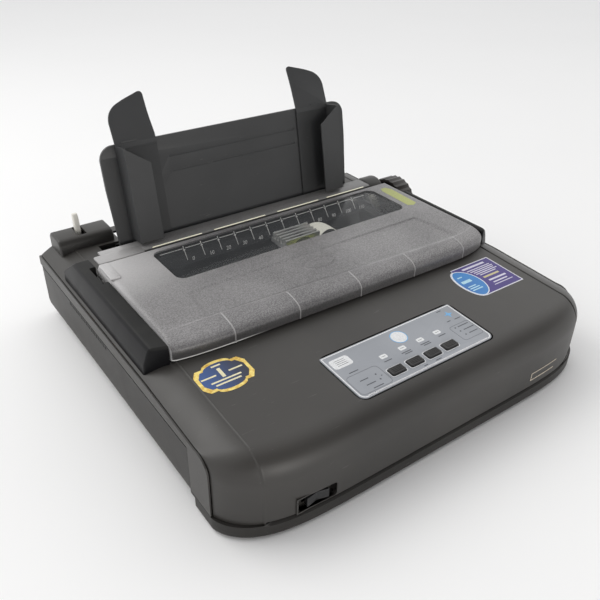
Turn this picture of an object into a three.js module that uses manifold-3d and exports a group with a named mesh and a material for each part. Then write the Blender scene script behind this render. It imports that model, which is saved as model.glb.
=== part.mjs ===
// Desktop dot-matrix printer with a flat-bed smoked cover, an upright sheet guide with two
// sliding edge guides, a platen with a side knob, a print head on a belt-driven carriage,
// and a push tractor behind the platen. Millimetres, +X to the printer's right as seen
// from the front, +Y to the rear, +Z up, desk at z = 0.
import * as THREE from 'three';
import { mergeVertices } from 'three/addons/utils/BufferGeometryUtils.js';
import Module from 'manifold-3d';

const wasm = await Module();
wasm.setup();

// ---- driving dimensions --------------------------------------------------------------
const HALF_W = 200;            // half width of the case
const REAR_Y = 350;            // rear wall
const BOW = 37;                // how far the bowed front stands ahead of the side walls
const WALL = 2.5;              // moulded wall thickness
const GAP = 0.3;               // clearance between touching pieces
const BASE_Z = 12;             // underside of the case
const CHIN_Z = 2;              // underside of the front chin
const CHIN_BACK_Y = 24;        // where the chin steps up to the underside
const SIDE_TOP_Z = 69;         // top edge of the side walls
const DECK_Z = 80;             // deck beside and behind the cover
const DECK_SLOPE = 0.0545;     // fall of the deck towards the front
const DECK_BREAK_Y = 98;       // where the deck starts to fall
const ROLL_R = 24;             // rolled front edge
const PART_Z = 57.8;           // parting line on the sides
const PART_FRONT_Z = 13.8;     // parting line along the front
const PART_Y = 30;             // where the parting line steps down

// Openings and pockets of the case.
const TOP_OPENING = { x: 172, front: 104, rear: 268 };
const REAR_OPENING = { x: 150, front: 266, rear: 336 };
const FORMS_SLOT = { x: 125, z0: 61, z1: 75 };
const WELL = { x: 181, front: 221, rear: 283, floor: 34 };
const SWITCH = { x: -131, z: 23, w: 34, h: 13, rockerW: 19, rockerH: 8.4 };
const VENTS = { count: 22, first: 178, pitch: 4.1, z0: 53, z1: 56.5, width: 1.8 };
const INLET = { x: -105, z: 44, w: 30, h: 22, deep: 18, wall: 3 };
const PORTS = {
  parallel: { x: -38, w: 46, z0: 30, z1: 43, rim: 1.6 },
  usb: { x: 15, w: 13, z0: 31, z1: 43, rim: 1.4 },
};
const FEET = { x: 165, front: 45, rear: 320, r: 9 };

// Raised covers over the release lever and the platen gear.
const HOUSING = { left: -186, right: -130, front: 316, top: 92 };
const HUMP = { left: 156, right: 178, y: 267, z: 78, r: 19 };

const COVER = { x: 175.5, front: 98, rear: 244, top: 97, thick: 2.5, lip: 16 };
const WINDOW = { left: -125, right: 144.5, front: 180.5, rear: 240 };
const COVER_PIVOT = { y: 236, z: 88, r: 3 };

const PLATEN = { y: 252, z: 66, r: 14, halfLength: 135, shaftR: 4 };
const KNOB = { r: 28, left: 184, right: 203 };
const FRAME = { left: -150, right: 150, thick: 2, front: 198, rear: 322 };
const RAIL = { y: 205, z: 50, r: 6 };
const CARRIAGE_X = 22;
const BELT = { y: 176, z0: 43, z1: 49, pulleyX: 138, pulleyR: 8, thick: 1.2 };
const CABLE = { near: 182.6, far: 174, turnX: 118, endX: -20, z0: 58, z1: 70, thick: 0.5 };
const WINDER = { x: 112, y: 148, r: 9 };
const MODULE = 1;              // gear module
const TEETH = { platen: 36, idler: 24, pinion: 12, tractor: 20 };
const FEED_MOTOR = { y: 274, z: 38.5, r: 18 };

const GUIDE = { lean: 10, y: 278, z: 97, x: 142, top: 91, bottom: -30, pivot: -24, thick: 3 };
const EDGE = { depth: 22, sheet: 1.6, plateW: 41, lipW: 24, bottom: -0.5, plateTop: 91 };
const PANEL = { left: -76.6, right: 67.8, front: -15.6, rear: 39.8, thick: 1.5 };
const BUTTON = { xs: [-32, -12.5, 7, 26.5], y: -3.5, w: 14, d: 8, proud: 1.6, travel: 1.2 };
const LEVER = { x: -160, y: 337, z: 70 };
const GAP_LEVER = { y: 225, z: 60 };
const TRACTORS = [['left', -1, -100], ['right', 1, 104]];
const TRACTOR_BAR = { back: 14, down: 22, r: 3 };

const deg = (a) => (a * Math.PI) / 180;
const deckZ = (y) => DECK_Z - DECK_SLOPE * Math.max(0, DECK_BREAK_Y - y);

// ---- materials -----------------------------------------------------------------------
const finish = (color, roughness, metalness = 0) =>
  new THREE.MeshStandardMaterial({ color, roughness, metalness });
const caseBlack = () => finish(0x35332f, 0.6);
const trimBlack = () => finish(0x1e1e1f, 0.4);
const guideBlack = () => finish(0x3a3b3b, 0.62);
const smoked = () => finish(0x77777a, 0.35);
const steel = () => finish(0x9a9c9e, 0.4, 0.9);
const darkRubber = () => finish(0x171717, 0.85);
const whitePlastic = () => finish(0xe9e7df, 0.5);
const greyPlastic = () => finish(0x8d9093, 0.5);

// ---- solids --------------------------------------------------------------------------
// Turns a closed three.js geometry into a solid that can be joined and cut.
function solid(geometry) {
  const plain = geometry.index ? geometry.toNonIndexed() : geometry.clone();
  plain.deleteAttribute('normal');
  plain.deleteAttribute('uv');
  const merged = mergeVertices(plain, 1e-4);
  return new wasm.Manifold(new wasm.Mesh({
    numProp: 3,
    vertProperties: new Float32Array(merged.attributes.position.array),
    triVerts: new Uint32Array(merged.index.array),
  }));
}

const object = new THREE.Group();

function part(name, body, material) {
  const mesh = body.getMesh();
  const geometry = new THREE.BufferGeometry();
  geometry.setAttribute('position', new THREE.BufferAttribute(mesh.vertProperties, 3));
  geometry.setIndex(new THREE.BufferAttribute(mesh.triVerts, 1));
  geometry.computeVertexNormals();
  const node = new THREE.Mesh(geometry, material);
  node.name = name;
  object.add(node);
}

const join = (first, ...rest) => rest.reduce((a, b) => a.add(b), first);
const cut = (first, ...rest) => rest.reduce((a, b) => a.subtract(b), first);

function box(x0, x1, y0, y1, z0, z1) {
  const geometry = new THREE.BoxGeometry(x1 - x0, y1 - y0, z1 - z0);
  return solid(geometry.translate((x0 + x1) / 2, (y0 + y1) / 2, (z0 + z1) / 2));
}

// A cylinder along an axis, from a to b; (u, v) is its centre on the other two axes.
function rod(axis, r, a, b, u, v, segments = 24) {
  const geometry = new THREE.CylinderGeometry(r, r, b - a, segments);
  const mid = (a + b) / 2;
  if (axis === 'x') geometry.rotateZ(-Math.PI / 2).translate(mid, u, v);
  if (axis === 'y') geometry.translate(u, mid, v);
  if (axis === 'z') geometry.rotateX(Math.PI / 2).translate(u, v, mid);
  return solid(geometry);
}

function outline(points) {
  return new THREE.Shape(points.map(([a, b]) => new THREE.Vector2(a, b)));
}

function extrude(shape, depth, curveSegments = 8) {
  return new THREE.ExtrudeGeometry(shape, { depth, bevelEnabled: false, curveSegments });
}

// Extrusions of an outline drawn in the plane named first.
const prismXY = (shape, z0, z1) => solid(extrude(shape, z1 - z0).translate(0, 0, z0));
const prismYZ = (shape, x0, x1) =>
  solid(extrude(shape, x1 - x0).applyMatrix4(YZ_TO_WORLD).translate(x0, 0, 0));
const prismXZ = (shape, y0, y1) =>
  solid(extrude(shape, y1 - y0).rotateX(Math.PI / 2).translate(0, y1, 0));
const YZ_TO_WORLD = new THREE.Matrix4().set(0, 0, 1, 0, 1, 0, 0, 0, 0, 1, 0, 0, 0, 0, 0, 1);

function roundedRect(x0, x1, y0, y1, r) {
  const shape = new THREE.Shape();
  shape.moveTo(x0 + r, y0).lineTo(x1 - r, y0).absarc(x1 - r, y0 + r, r, -Math.PI / 2, 0);
  shape.lineTo(x1, y1 - r).absarc(x1 - r, y1 - r, r, 0, Math.PI / 2);
  shape.lineTo(x0 + r, y1).absarc(x0 + r, y1 - r, r, Math.PI / 2, Math.PI);
  shape.lineTo(x0, y0 + r).absarc(x0 + r, y0 + r, r, Math.PI, Math.PI * 1.5);
  return shape;
}

// ---- the case ------------------------------------------------------------------------
// Front edge in plan: nearly straight across the middle, round at both corners.
const frontY = (x, half) => -BOW * (1 - Math.abs(x / half) ** 7) ** 0.63;

// The outer form of the closed case, shrunk by an inset for the hollow inside.
function caseForm(inset) {
  const half = HALF_W - inset;
  const steps = 28;
  const plan = [];
  for (let i = 0; i <= steps; i += 1) {
    const t = -Math.cos((Math.PI * i) / steps);
    plan.push([half * t, frontY(half * t, half) + inset]);
  }
  plan.push([half, REAR_Y - inset], [-half, REAR_Y - inset]);

  const rollY = -BOW + ROLL_R;
  const side = new THREE.Shape();
  const r = ROLL_R - inset;
  side.moveTo(-BOW + inset, CHIN_Z + inset).lineTo(CHIN_BACK_Y - inset, CHIN_Z + inset);
  side.lineTo(CHIN_BACK_Y - inset, BASE_Z + inset).lineTo(REAR_Y - 8, BASE_Z + inset);
  side.lineTo(REAR_Y - inset, BASE_Z + 15).lineTo(REAR_Y - inset, DECK_Z - inset);
  side.lineTo(DECK_BREAK_Y, DECK_Z - inset).lineTo(rollY, deckZ(rollY) - inset);
  side.absarc(rollY, deckZ(rollY) - inset - r, r, Math.PI / 2, Math.PI);

  const front = new THREE.Shape();
  const top = DECK_Z + 1 - inset;
  front.moveTo(-half, CHIN_Z).lineTo(half, CHIN_Z).lineTo(half, SIDE_TOP_Z - inset);
  front.quadraticCurveTo(half - 8, SIDE_TOP_Z + 5 - inset, half - 27, top);
  front.lineTo(-half + 27, top);
  front.quadraticCurveTo(-half + 8, SIDE_TOP_Z + 5 - inset, -half, SIDE_TOP_Z - inset);

  return prismXY(outline(plan), 0, DECK_Z + 5)
    .intersect(prismYZ(side, -HALF_W - 1, HALF_W + 1))
    .intersect(prismXZ(front, -BOW - 1, REAR_Y + 1));
}

// The knob turns in a well in the right shoulder.
function knobWell(grow) {
  return box(WELL.x - grow, HALF_W + 5, WELL.front - grow, WELL.rear + grow,
    WELL.floor - grow, DECK_Z + 5);
}

function caseShell() {
  const outer = caseForm(0);
  const liner = knobWell(WALL).intersect(caseForm(0));
  const shaftHole = rod('x', PLATEN.shaftR + 1, WELL.x - 5, WELL.x + 5, PLATEN.y, PLATEN.z);
  return cut(join(outer.subtract(caseForm(WALL)), liner), knobWell(0), shaftHole);
}

function below(gap) {
  return prismYZ(outline([
    [-BOW - 5, -5], [REAR_Y + 5, -5], [REAR_Y + 5, PART_Z - gap],
    [PART_Y + gap, PART_Z - gap], [PART_Y + gap, PART_FRONT_Z - gap],
    [-BOW - 5, PART_FRONT_Z - gap],
  ]), -HALF_W - 5, HALF_W + 5);
}


function lowerCase(shell) {
  let body = shell.intersect(below(GAP));
  for (let i = 0; i < VENTS.count; i += 1) {
    const y = VENTS.first + i * VENTS.pitch;
    body = body.subtract(
      box(-HALF_W - 1, -HALF_W + WALL + 1, y, y + VENTS.width, VENTS.z0, VENTS.z1));
  }
  const { parallel, usb } = PORTS;
  const rearCut = (x, w, z0, z1) =>
    box(x - w / 2, x + w / 2, REAR_Y - WALL - 2, REAR_Y + 1, z0, z1);
  return cut(join(body, leverPost()),
    rearCut(INLET.x, INLET.w, INLET.z - INLET.h / 2, INLET.z + INLET.h / 2),
    rearCut(parallel.x, parallel.w, parallel.z0, parallel.z1),
    rearCut(usb.x, usb.w, usb.z0, usb.z1));
}

// Moulded post with the pin that the release lever turns on.
function leverPost() {
  const { x, y, z } = LEVER;
  return join(rod('x', 2.2, x - 6, x + 8, y, z, 16), box(x + 4, x + 8, y - 5, y + 5, 13, z + 5));
}


// The power rocker sits in a shallow pocket of the front wall.
function switchBox(grow, y0, y1) {
  const { x, z, w, h } = SWITCH;
  return box(x - w / 2 - grow, x + w / 2 + grow, y0, y1, z - h / 2 - grow, z + h / 2 + grow);
}

function switchHole() {
  const { x, z, rockerW, rockerH } = SWITCH;
  return box(x - rockerW / 2 - 1, x + rockerW / 2 + 1, -BOW, -BOW + 8,
    z - rockerH / 2 - 0.5, z + rockerH / 2 + 0.5);
}

function leverHousing() {
  const { left, right, front, top } = HOUSING;
  const profile = outline([[front, 77], [front + 6, top], [REAR_Y, top], [REAR_Y, 77]]);
  const hollow = outline([
    [front + 4, 70], [front + 8, top - WALL], [REAR_Y - WALL, top - WALL], [REAR_Y - WALL, 70],
  ]);
  return {
    shell: prismYZ(profile, left, right),
    hollow: join(prismYZ(hollow, left + WALL, right - WALL),
      box(LEVER.x - 4.5, LEVER.x + 4.5, front + 8, REAR_Y - 5, top - 5, top + 1)),
  };
}

function gearHump() {
  const { left, right, y, z, r } = HUMP;
  const skirt = (grow) =>
    box(left + grow, right - grow, y - r + grow, y + r - grow, z - 2 - grow, z);
  const above = box(left, right, y - r, y + r, z - 1, z + r);
  return {
    shell: join(rod('x', r, left, right, y, z, 32), skirt(0)).intersect(above),
    hollow: join(rod('x', r - WALL, left + WALL, right - WALL, y, z, 32), skirt(WALL)),
  };
}

// Ears under the deck that hold the sheet guide's pivot pins.
function guideEar(side) {
  const { y, z } = guidePoint(GUIDE.pivot, -GUIDE.thick / 2);
  const x0 = side * 150.5 - 1.75;
  return cut(box(x0, x0 + 3.5, y - 6, y + 6, z - 5, DECK_Z - 0.5),
    rod('x', 2.6, x0 - 1, x0 + 4.5, y, z));
}

function upperCase(shell) {
  const housing = leverHousing();
  const hump = gearHump();
  const body = join(shell.subtract(below(-GAP)), housing.shell, hump.shell,
    switchBox(2, -BOW + 2, -BOW + 6));
  const panelCut = tilted(box(PANEL.left - 0.5, PANEL.right + 0.5, PANEL.front - 0.5,
    PANEL.rear + 0.5, -1.9, 2));
  const panelHole = tilted(box(PANEL.left + 4, PANEL.right - 4, PANEL.front + 4,
    PANEL.rear - 4, -8, 2));
  const openings = [
    box(-TOP_OPENING.x, TOP_OPENING.x, TOP_OPENING.front, TOP_OPENING.rear, 70, 90),
    box(-REAR_OPENING.x + 24, REAR_OPENING.x, REAR_OPENING.front, REAR_OPENING.rear, 70, 81),
    box(-REAR_OPENING.x, 0, REAR_OPENING.front, HOUSING.front - 4, 70, 81),
    switchBox(0, -BOW - 1, -BOW + 3), switchHole(),
    box(-FORMS_SLOT.x, FORMS_SLOT.x, REAR_Y - 5, REAR_Y + 1, FORMS_SLOT.z0, FORMS_SLOT.z1),
  ];
  const humpTrim = box(TOP_OPENING.x - 1, HUMP.right + 2, TOP_OPENING.front, HUMP.y - HUMP.r,
    79, 81);
  const opened = cut(body, housing.hollow, hump.hollow, panelCut, panelHole, ...openings);
  return join(opened.subtract(humpTrim), guideEar(-1), guideEar(1));
}

// A piece drawn with z measured up from the sloping deck is laid on it at the panel.
function tilted(body) {
  const mesh = body.getMesh();
  const geometry = new THREE.BufferGeometry();
  geometry.setAttribute('position', new THREE.BufferAttribute(mesh.vertProperties, 3));
  geometry.setIndex(new THREE.BufferAttribute(mesh.triVerts, 1));
  const yMid = (PANEL.front + PANEL.rear) / 2;
  geometry.translate(0, -yMid, 0).rotateX(Math.atan(DECK_SLOPE));
  return solid(geometry.translate(0, yMid, deckZ(yMid)));
}

function makeCase() {
  const shell = caseShell();
  part('lower_case', lowerCase(shell), caseBlack());
  part('upper_case', upperCase(shell), caseBlack());
  for (const [end, y] of [['front', FEET.front], ['rear', FEET.rear]]) {
    for (const [side, x] of [['left', -FEET.x], ['right', FEET.x]]) {
      part(`foot_${end}_${side}`, rod('z', FEET.r, 0, BASE_Z - GAP, x, y, 20), darkRubber());
    }
  }
}

// Solid blocks that flank the cover, with pins for its hinge.
function coverBlock(side, rear) {
  const inner = COVER.x + 1;
  const profile = [[inner, 80.3], [inner, 96.5], [186, 95.5], [191, 89], [193.5, 80.3]];
  const points = side > 0 ? profile.slice().reverse() : profile.map(([x, z]) => [-x, z]);
  const block = prismXZ(outline(points), 101, rear);
  const nose = box(-HALF_W, HALF_W, 100, 101.5, 92, 98);
  const pinX = side * (inner - 3);
  const pin = rod('x', COVER_PIVOT.r, pinX - 4.5, pinX + 4.5, COVER_PIVOT.y, COVER_PIVOT.z, 20);
  return cut(join(block, pin), nose);
}

function makeCoverBlocks() {
  part('cover_block_left', coverBlock(-1, 280), trimBlack());
  const right = cut(join(coverBlock(1, 218.5),
    box(COVER.x + 1, 180, 210, 246, 80.3, 96)), box(180.2, HALF_W, 218.5, 260, 70, 99));
  part('cover_block_right', right, trimBlack());
}

// ---- cover and window ----------------------------------------------------------------
function makeCover() {
  const { x, front, rear, top, thick, lip } = COVER;
  const profile = new THREE.Shape();
  profile.moveTo(front, 80.6).lineTo(front + thick, 80.6).lineTo(front + thick, top - lip);
  profile.absarc(front + lip, top - lip, lip - thick, Math.PI, Math.PI / 2, true);
  profile.lineTo(rear, top - thick).lineTo(rear, top).lineTo(front + lip, top);
  profile.absarc(front + lip, top - lip, lip, Math.PI / 2, Math.PI);
  const { y, z, r } = COVER_PIVOT;
  let cover = prismYZ(profile, -x, x);
  for (const side of [-1, 1]) {
    const x0 = side * (x - 2) - 1.5;
    const ear = join(rod('x', 7, x0, x0 + 3, y, z), box(x0, x0 + 3, y - 7, y + 7, z, top - 0.5));
    cover = cover.add(cut(ear, rod('x', r + GAP, x0 - 1, x0 + 4, y, z, 20)));
  }
  const { left, right } = WINDOW;
  const hole = roundedRect(left, right, WINDOW.front, WINDOW.rear, 9);
  part('printer_cover', cover.subtract(prismXY(hole, top - 5, top + 1)), smoked());
  const pane = roundedRect(left + GAP, right - GAP, WINDOW.front + GAP, WINDOW.rear - GAP, 8.7);
  part('cover_window', prismXY(pane, top - 2.2, top - 0.3), smoked());
}

function makeTearBar() {
  const profile = outline([[250, 94.4], [270, 94.4], [270, 97], [252, 97], [250, 96]]);
  const legs = [-1, 1].map((side) => box(side * 150 - 2.5, side * 150 + 2.5, 254, 261, 78.4, 95));
  part('tear_bar', join(prismYZ(profile, -165, 154), ...legs), smoked());
}

// ---- sheet guide ---------------------------------------------------------------------
// A point of the guide's plane: h up the plane, n out of it towards the front.
function guidePoint(h, n) {
  const a = deg(GUIDE.lean);
  return {
    y: GUIDE.y + h * Math.sin(a) - n * Math.cos(a),
    z: GUIDE.z + h * Math.cos(a) + n * Math.sin(a),
  };
}

// Outline in (x, h), from n0 to n1 in front of the guide's plane.
function guideSheet(shape, n0, n1) {
  const a = deg(GUIDE.lean);
  const geometry = extrude(shape, n1 - n0).translate(0, 0, n0);
  return solid(geometry.rotateX(Math.PI / 2 - a).translate(0, GUIDE.y, GUIDE.z));
}

function makePaperGuide() {
  const { x, top, bottom, thick, pivot } = GUIDE;
  const r = 14;
  const shape = new THREE.Shape();
  shape.moveTo(-x + 4, bottom).lineTo(x - 4, bottom).lineTo(x, top - 40).lineTo(x, top - r);
  shape.absarc(x - r, top - r, r, 0, Math.PI / 2).lineTo(-x + r, top);
  shape.absarc(-x + r, top - r, r, Math.PI / 2, Math.PI).lineTo(-x, top - 40);
  const steps = [[69.5, 71.5], [55, 57]].map(([h0, h1]) =>
    guideSheet(outline([[-74, h0], [74, h0], [74, h1], [-74, h1]]), -0.6, 0.2));
  const p = guidePoint(pivot, -thick / 2);
  const pins = [-1, 1].map((s) =>
    rod('x', 2.2, s * 145 - 7.5, s * 145 + 7.5, p.y, p.z, 16));
  part('paper_guide', cut(join(guideSheet(shape, -thick, 0), ...pins), ...steps), guideBlack());
}

// One edge guide: plate on the panel, outer wall, front lip, flared wing and rear hook.
function edgeGuide(side, outerX, wing) {
  const { depth, sheet, plateW, lipW, bottom, plateTop } = EDGE;
  const at = (d) => outerX - side * d;
  const face = (points, n0, n1) =>
    guideSheet(outline(side > 0 ? points.slice().reverse() : points), n0, n1);
  const plate = face([[at(0), bottom - 8], [at(plateW), bottom - 8], [at(plateW), plateTop],
    [at(0), plateTop]], 0.4, 0.4 + sheet);
  const wall = face([[at(0), bottom], [at(sheet), bottom], [at(sheet), plateTop - 1],
    [at(0), plateTop - 1]], 0.4, depth);
  const lip = face([[at(0), bottom], [at(lipW), bottom], [at(lipW), 73], [at(0), plateTop - 1]],
    depth - sheet, depth);
  const hook = join(
    face([[at(6), plateTop + 0.4], [at(22), plateTop + 0.4], [at(22), plateTop + 2.2],
      [at(6), plateTop + 2.2]], -5.2, 2),
    face([[at(6), 79], [at(22), 79], [at(22), plateTop + 2.2], [at(6), plateTop + 2.2]],
      -5.2, -3.4));
  return join(plate, wall, lip, hook, wingSolid(side, wing));
}

// The wing continues the plate above the panel and is bent further back.
function wingSolid(side, points) {
  const { sheet, plateTop } = EDGE;
  const bend = deg(14);
  const a = deg(GUIDE.lean);
  const shape = outline(side > 0 ? points.slice().reverse() : points);
  const geometry = extrude(shape, sheet).rotateX(Math.PI / 2 - bend - a);
  const root = guidePoint(plateTop - 1, 0.4);
  return solid(geometry.translate(0, root.y, root.z));
}

function wingOutline(side, outerX) {
  const at = (d) => outerX - side * d;
  return [[at(0), -4], [at(41), -4], [at(41), 4], [at(35), 24], [at(31), 46], [at(14), 39],
    [at(5), 34], [at(0), 25], [at(0), 12]];
}

function makeEdgeGuides() {
  for (const [name, side, x] of [['edge_guide_left', -1, -126], ['edge_guide_right', 1, 119.5]]) {
    part(name, edgeGuide(side, x, wingOutline(side, x)), guideBlack());
  }
}

// ---- control panel -------------------------------------------------------------------
function makeControlPanel() {
  const { left, right, front, rear, thick } = PANEL;
  const { xs, y, w, d, proud, travel } = BUTTON;
  const plate = prismXY(roundedRect(left, right, front, rear, 6), -thick, 0);
  const around = (x, grow, z0, z1) =>
    box(x - w / 2 - grow, x + w / 2 + grow, y - d / 2 - grow, y + d / 2 + grow, z0, z1);
  const holes = xs.map((x) => around(x, 0.4, -5, 1));
  part('control_panel_plate', tilted(cut(plate, ...holes)), greyPlastic());
  xs.forEach((x, i) => {
    const face = roundedRect(x - w / 2, x + w / 2, y - d / 2, y + d / 2, 1.5);
    const cap = prismXY(face, -3.2, proud);
    const flange = around(x, 1.5, -3.6, -thick - GAP);
    part(`button_${i + 1}`, tilted(join(cap, flange)), trimBlack());
  });
  const board = join(box(left + 6, right - 6, front + 6, rear - 6, -7.6, -6),
    ...xs.map((x) => box(x - 3, x + 3, y - 3, y + 3, -6.1, -3.6 - travel - 0.2)));
  part('panel_board', tilted(board), finish(0x2f5d3a, 0.6));
}

function makePowerSwitch() {
  const { x, z, rockerW, rockerH } = SWITCH;
  const face = -BOW + 1.5;
  const half = rockerW / 2;
  const rocker = outline([[half, -0.6], [half, 4.5], [-half, 4.5], [-half, 0.4], [0, 2]]);
  part('power_rocker', solid(extrude(rocker, rockerH).translate(x, face, z - rockerH / 2)),
    trimBlack());
}

// ---- mechanism frame -----------------------------------------------------------------
const gearR = (teeth) => (MODULE * teeth) / 2;
const IDLER = idlerPlace();
const TRACTOR = tractorPlace();

// The idler meshes with both the platen gear and the motor pinion.
function idlerPlace() {
  const dy = FEED_MOTOR.y - PLATEN.y;
  const dz = FEED_MOTOR.z - PLATEN.z;
  const d = Math.hypot(dy, dz);
  const a = gearR(TEETH.platen) + gearR(TEETH.idler);
  const b = gearR(TEETH.idler) + gearR(TEETH.pinion);
  const along = (a * a + d * d - b * b) / (2 * d);
  const off = Math.sqrt(a * a - along * along);
  return { y: PLATEN.y + (along * dy - off * dz) / d, z: PLATEN.z + (along * dz + off * dy) / d };
}

function tractorPlace() {
  const reach = gearR(TEETH.idler) + gearR(TEETH.tractor);
  const angle = deg(8);
  return { y: IDLER.y + reach * Math.cos(angle), z: IDLER.z + reach * Math.sin(angle) };
}

function sideFrame(x) {
  const { thick, front, rear } = FRAME;
  const plate = prismYZ(outline([[front, 20.4], [rear, 20.4], [rear, 66], [266, 66], [262, 78],
    [240, 78], [226, 70], [front, 70]]), x - thick / 2, x + thick / 2);
  const bore = (r, y, z) => rod('x', r, x - 3, x + 3, y, z);
  return cut(plate, bore(PLATEN.shaftR + 0.1, PLATEN.y, PLATEN.z),
    bore(RAIL.r - 1.9, RAIL.y, RAIL.z), bore(4.1, TRACTOR.y, TRACTOR.z),
    bore(3.1, FEED_MOTOR.y, FEED_MOTOR.z), bore(2.6, IDLER.y, IDLER.z),
    bore(2.8, GAP_LEVER.y, GAP_LEVER.z));
}

function makeMechanismFrame() {
  part('side_frame_left', sideFrame(FRAME.left), steel());
  const stud = join(rod('x', 2.5, 149.5, 161, IDLER.y, IDLER.z, 16),
    rod('x', 4, 150.5, 153.4, IDLER.y, IDLER.z, 16));
  part('side_frame_right', join(sideFrame(FRAME.right), stud), steel());
  const pan = join(box(FRAME.left - 3, FRAME.right + 3, FRAME.front, FRAME.rear, 18, 20),
    box(BELT.pulleyX - 10, BELT.pulleyX + 10, BELT.y - 10, FRAME.front + 1, 18, 20),
    rod('z', 6, 19, 37, BELT.pulleyX, BELT.y, 16),
    rod('z', 2, 36, 51.5, BELT.pulleyX, BELT.y, 12));
  const posts = [[-140, 204], [140, 204], [-140, 316], [140, 316]].map(([x, y]) =>
    rod('z', 5, 14.5 + GAP, 18.5, x, y, 12));
  part('base_plate', join(pan, ...posts), steel());
  const rail = join(rod('x', RAIL.r, -148.7, 148.7, RAIL.y, RAIL.z),
    rod('x', RAIL.r - 2, -151.5, 151.5, RAIL.y, RAIL.z));
  part('carriage_rail', rail, finish(0xc9ccd0, 0.2, 1));
  const guideRail = outline([[223, 28], [231, 28], [231, 30], [225, 30], [225, 38], [223, 38]]);
  part('rear_guide_rail', prismYZ(guideRail, -148.7, 148.7), steel());
}

// ---- gears ---------------------------------------------------------------------------
// Plain trapezoid teeth with backlash; phase turns the first tooth, in tooth pitches.
function gear(teeth, x0, x1, y, z, phase, bore) {
  const r = gearR(teeth);
  const points = [];
  for (let i = 0; i < teeth; i += 1) {
    const pitch = (2 * Math.PI) / teeth;
    const a = (i + phase) * pitch;
    const root = r - 1.15 * MODULE;
    const tip = r + 0.75 * MODULE;
    for (const [radius, offset] of [[root, -0.27], [tip, -0.12], [tip, 0.12], [root, 0.27]]) {
      const turn = a + offset * pitch;
      points.push([y + radius * Math.cos(turn), z + radius * Math.sin(turn)]);
    }
  }
  return cut(prismYZ(outline(points), x0, x1), rod('x', bore, x0 - 1, x1 + 1, y, z, 20));
}

// Phase that puts a gap of the second gear on the first gear's tooth at the mesh line.
function meshPhase(from, fromTeeth, fromPhase, to, toTeeth) {
  const angle = Math.atan2(to.z - from.z, to.y - from.y);
  const fromAt = (angle / (2 * Math.PI)) * fromTeeth - fromPhase;
  const toAt = ((angle + Math.PI) / (2 * Math.PI)) * toTeeth;
  return toAt + fromAt + 0.5;
}

function makeFeedTrain() {
  const x = 154;
  const idlerPhase = meshPhase(PLATEN, TEETH.platen, 0, IDLER, TEETH.idler);
  const pinionPhase = meshPhase(IDLER, TEETH.idler, idlerPhase, FEED_MOTOR, TEETH.pinion);
  const tractorPhase = meshPhase(IDLER, TEETH.idler, idlerPhase, TRACTOR, TEETH.tractor);
  part('platen_gear', gear(TEETH.platen, x, x + 6, PLATEN.y, PLATEN.z, 0, 4.3), whitePlastic());
  part('idler_gear', gear(TEETH.idler, x, x + 6, IDLER.y, IDLER.z, idlerPhase, 2.6), whitePlastic());
  part('feed_pinion', join(
    gear(TEETH.pinion, x, x + 6, FEED_MOTOR.y, FEED_MOTOR.z, pinionPhase, 1),
    rod('x', 1.8, 148.6, x + 5.5, FEED_MOTOR.y, FEED_MOTOR.z, 12)), whitePlastic());
  part('tractor_gear', gear(TEETH.tractor, x, x + 6, TRACTOR.y, TRACTOR.z, tractorPhase, 3.2),
    whitePlastic());
  part('feed_motor', join(rod('x', FEED_MOTOR.r, 112, 145, FEED_MOTOR.y, FEED_MOTOR.z, 28),
    rod('x', 2.8, 144, 148.3, FEED_MOTOR.y, FEED_MOTOR.z, 16)), finish(0x3b3d40, 0.5, 0.6));
}

// ---- platen --------------------------------------------------------------------------
function makePlaten() {
  const { y, z, r, halfLength, shaftR } = PLATEN;
  const roller = cut(rod('x', r, -halfLength, halfLength, y, z, 40),
    rod('x', shaftR + 1.2, -halfLength - 1, halfLength + 1, y, z, 24));
  part('platen_roller', roller, darkRubber());
  const shaft = join(rod('x', shaftR, -153, 199, y, z),
    rod('x', shaftR + 1, -136, 136, y, z));
  part('platen_shaft', shaft, steel());
  part('platen_knob', knob(), trimBlack());
}

// Fluted knob, hollow towards the case, on the platen shaft's right end.
function knob() {
  const { r, left, right } = KNOB;
  const { y, z, shaftR } = PLATEN;
  const flutes = 24;
  const points = [];
  for (let i = 0; i < flutes * 2; i += 1) {
    const a = (Math.PI * i) / flutes;
    const radius = i % 2 ? r - 1.2 : r;
    points.push([y + radius * Math.cos(a), z + radius * Math.sin(a)]);
  }
  const body = prismYZ(outline(points), left, right);
  const hollow = cut(rod('x', r - 4, left - 1, right - 3, y, z, 28),
    rod('x', 8, left - 2, right, y, z, 20));
  return cut(body, hollow, rod('x', shaftR + GAP, left - 3, right - 2.5, y, z, 20));
}

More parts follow.
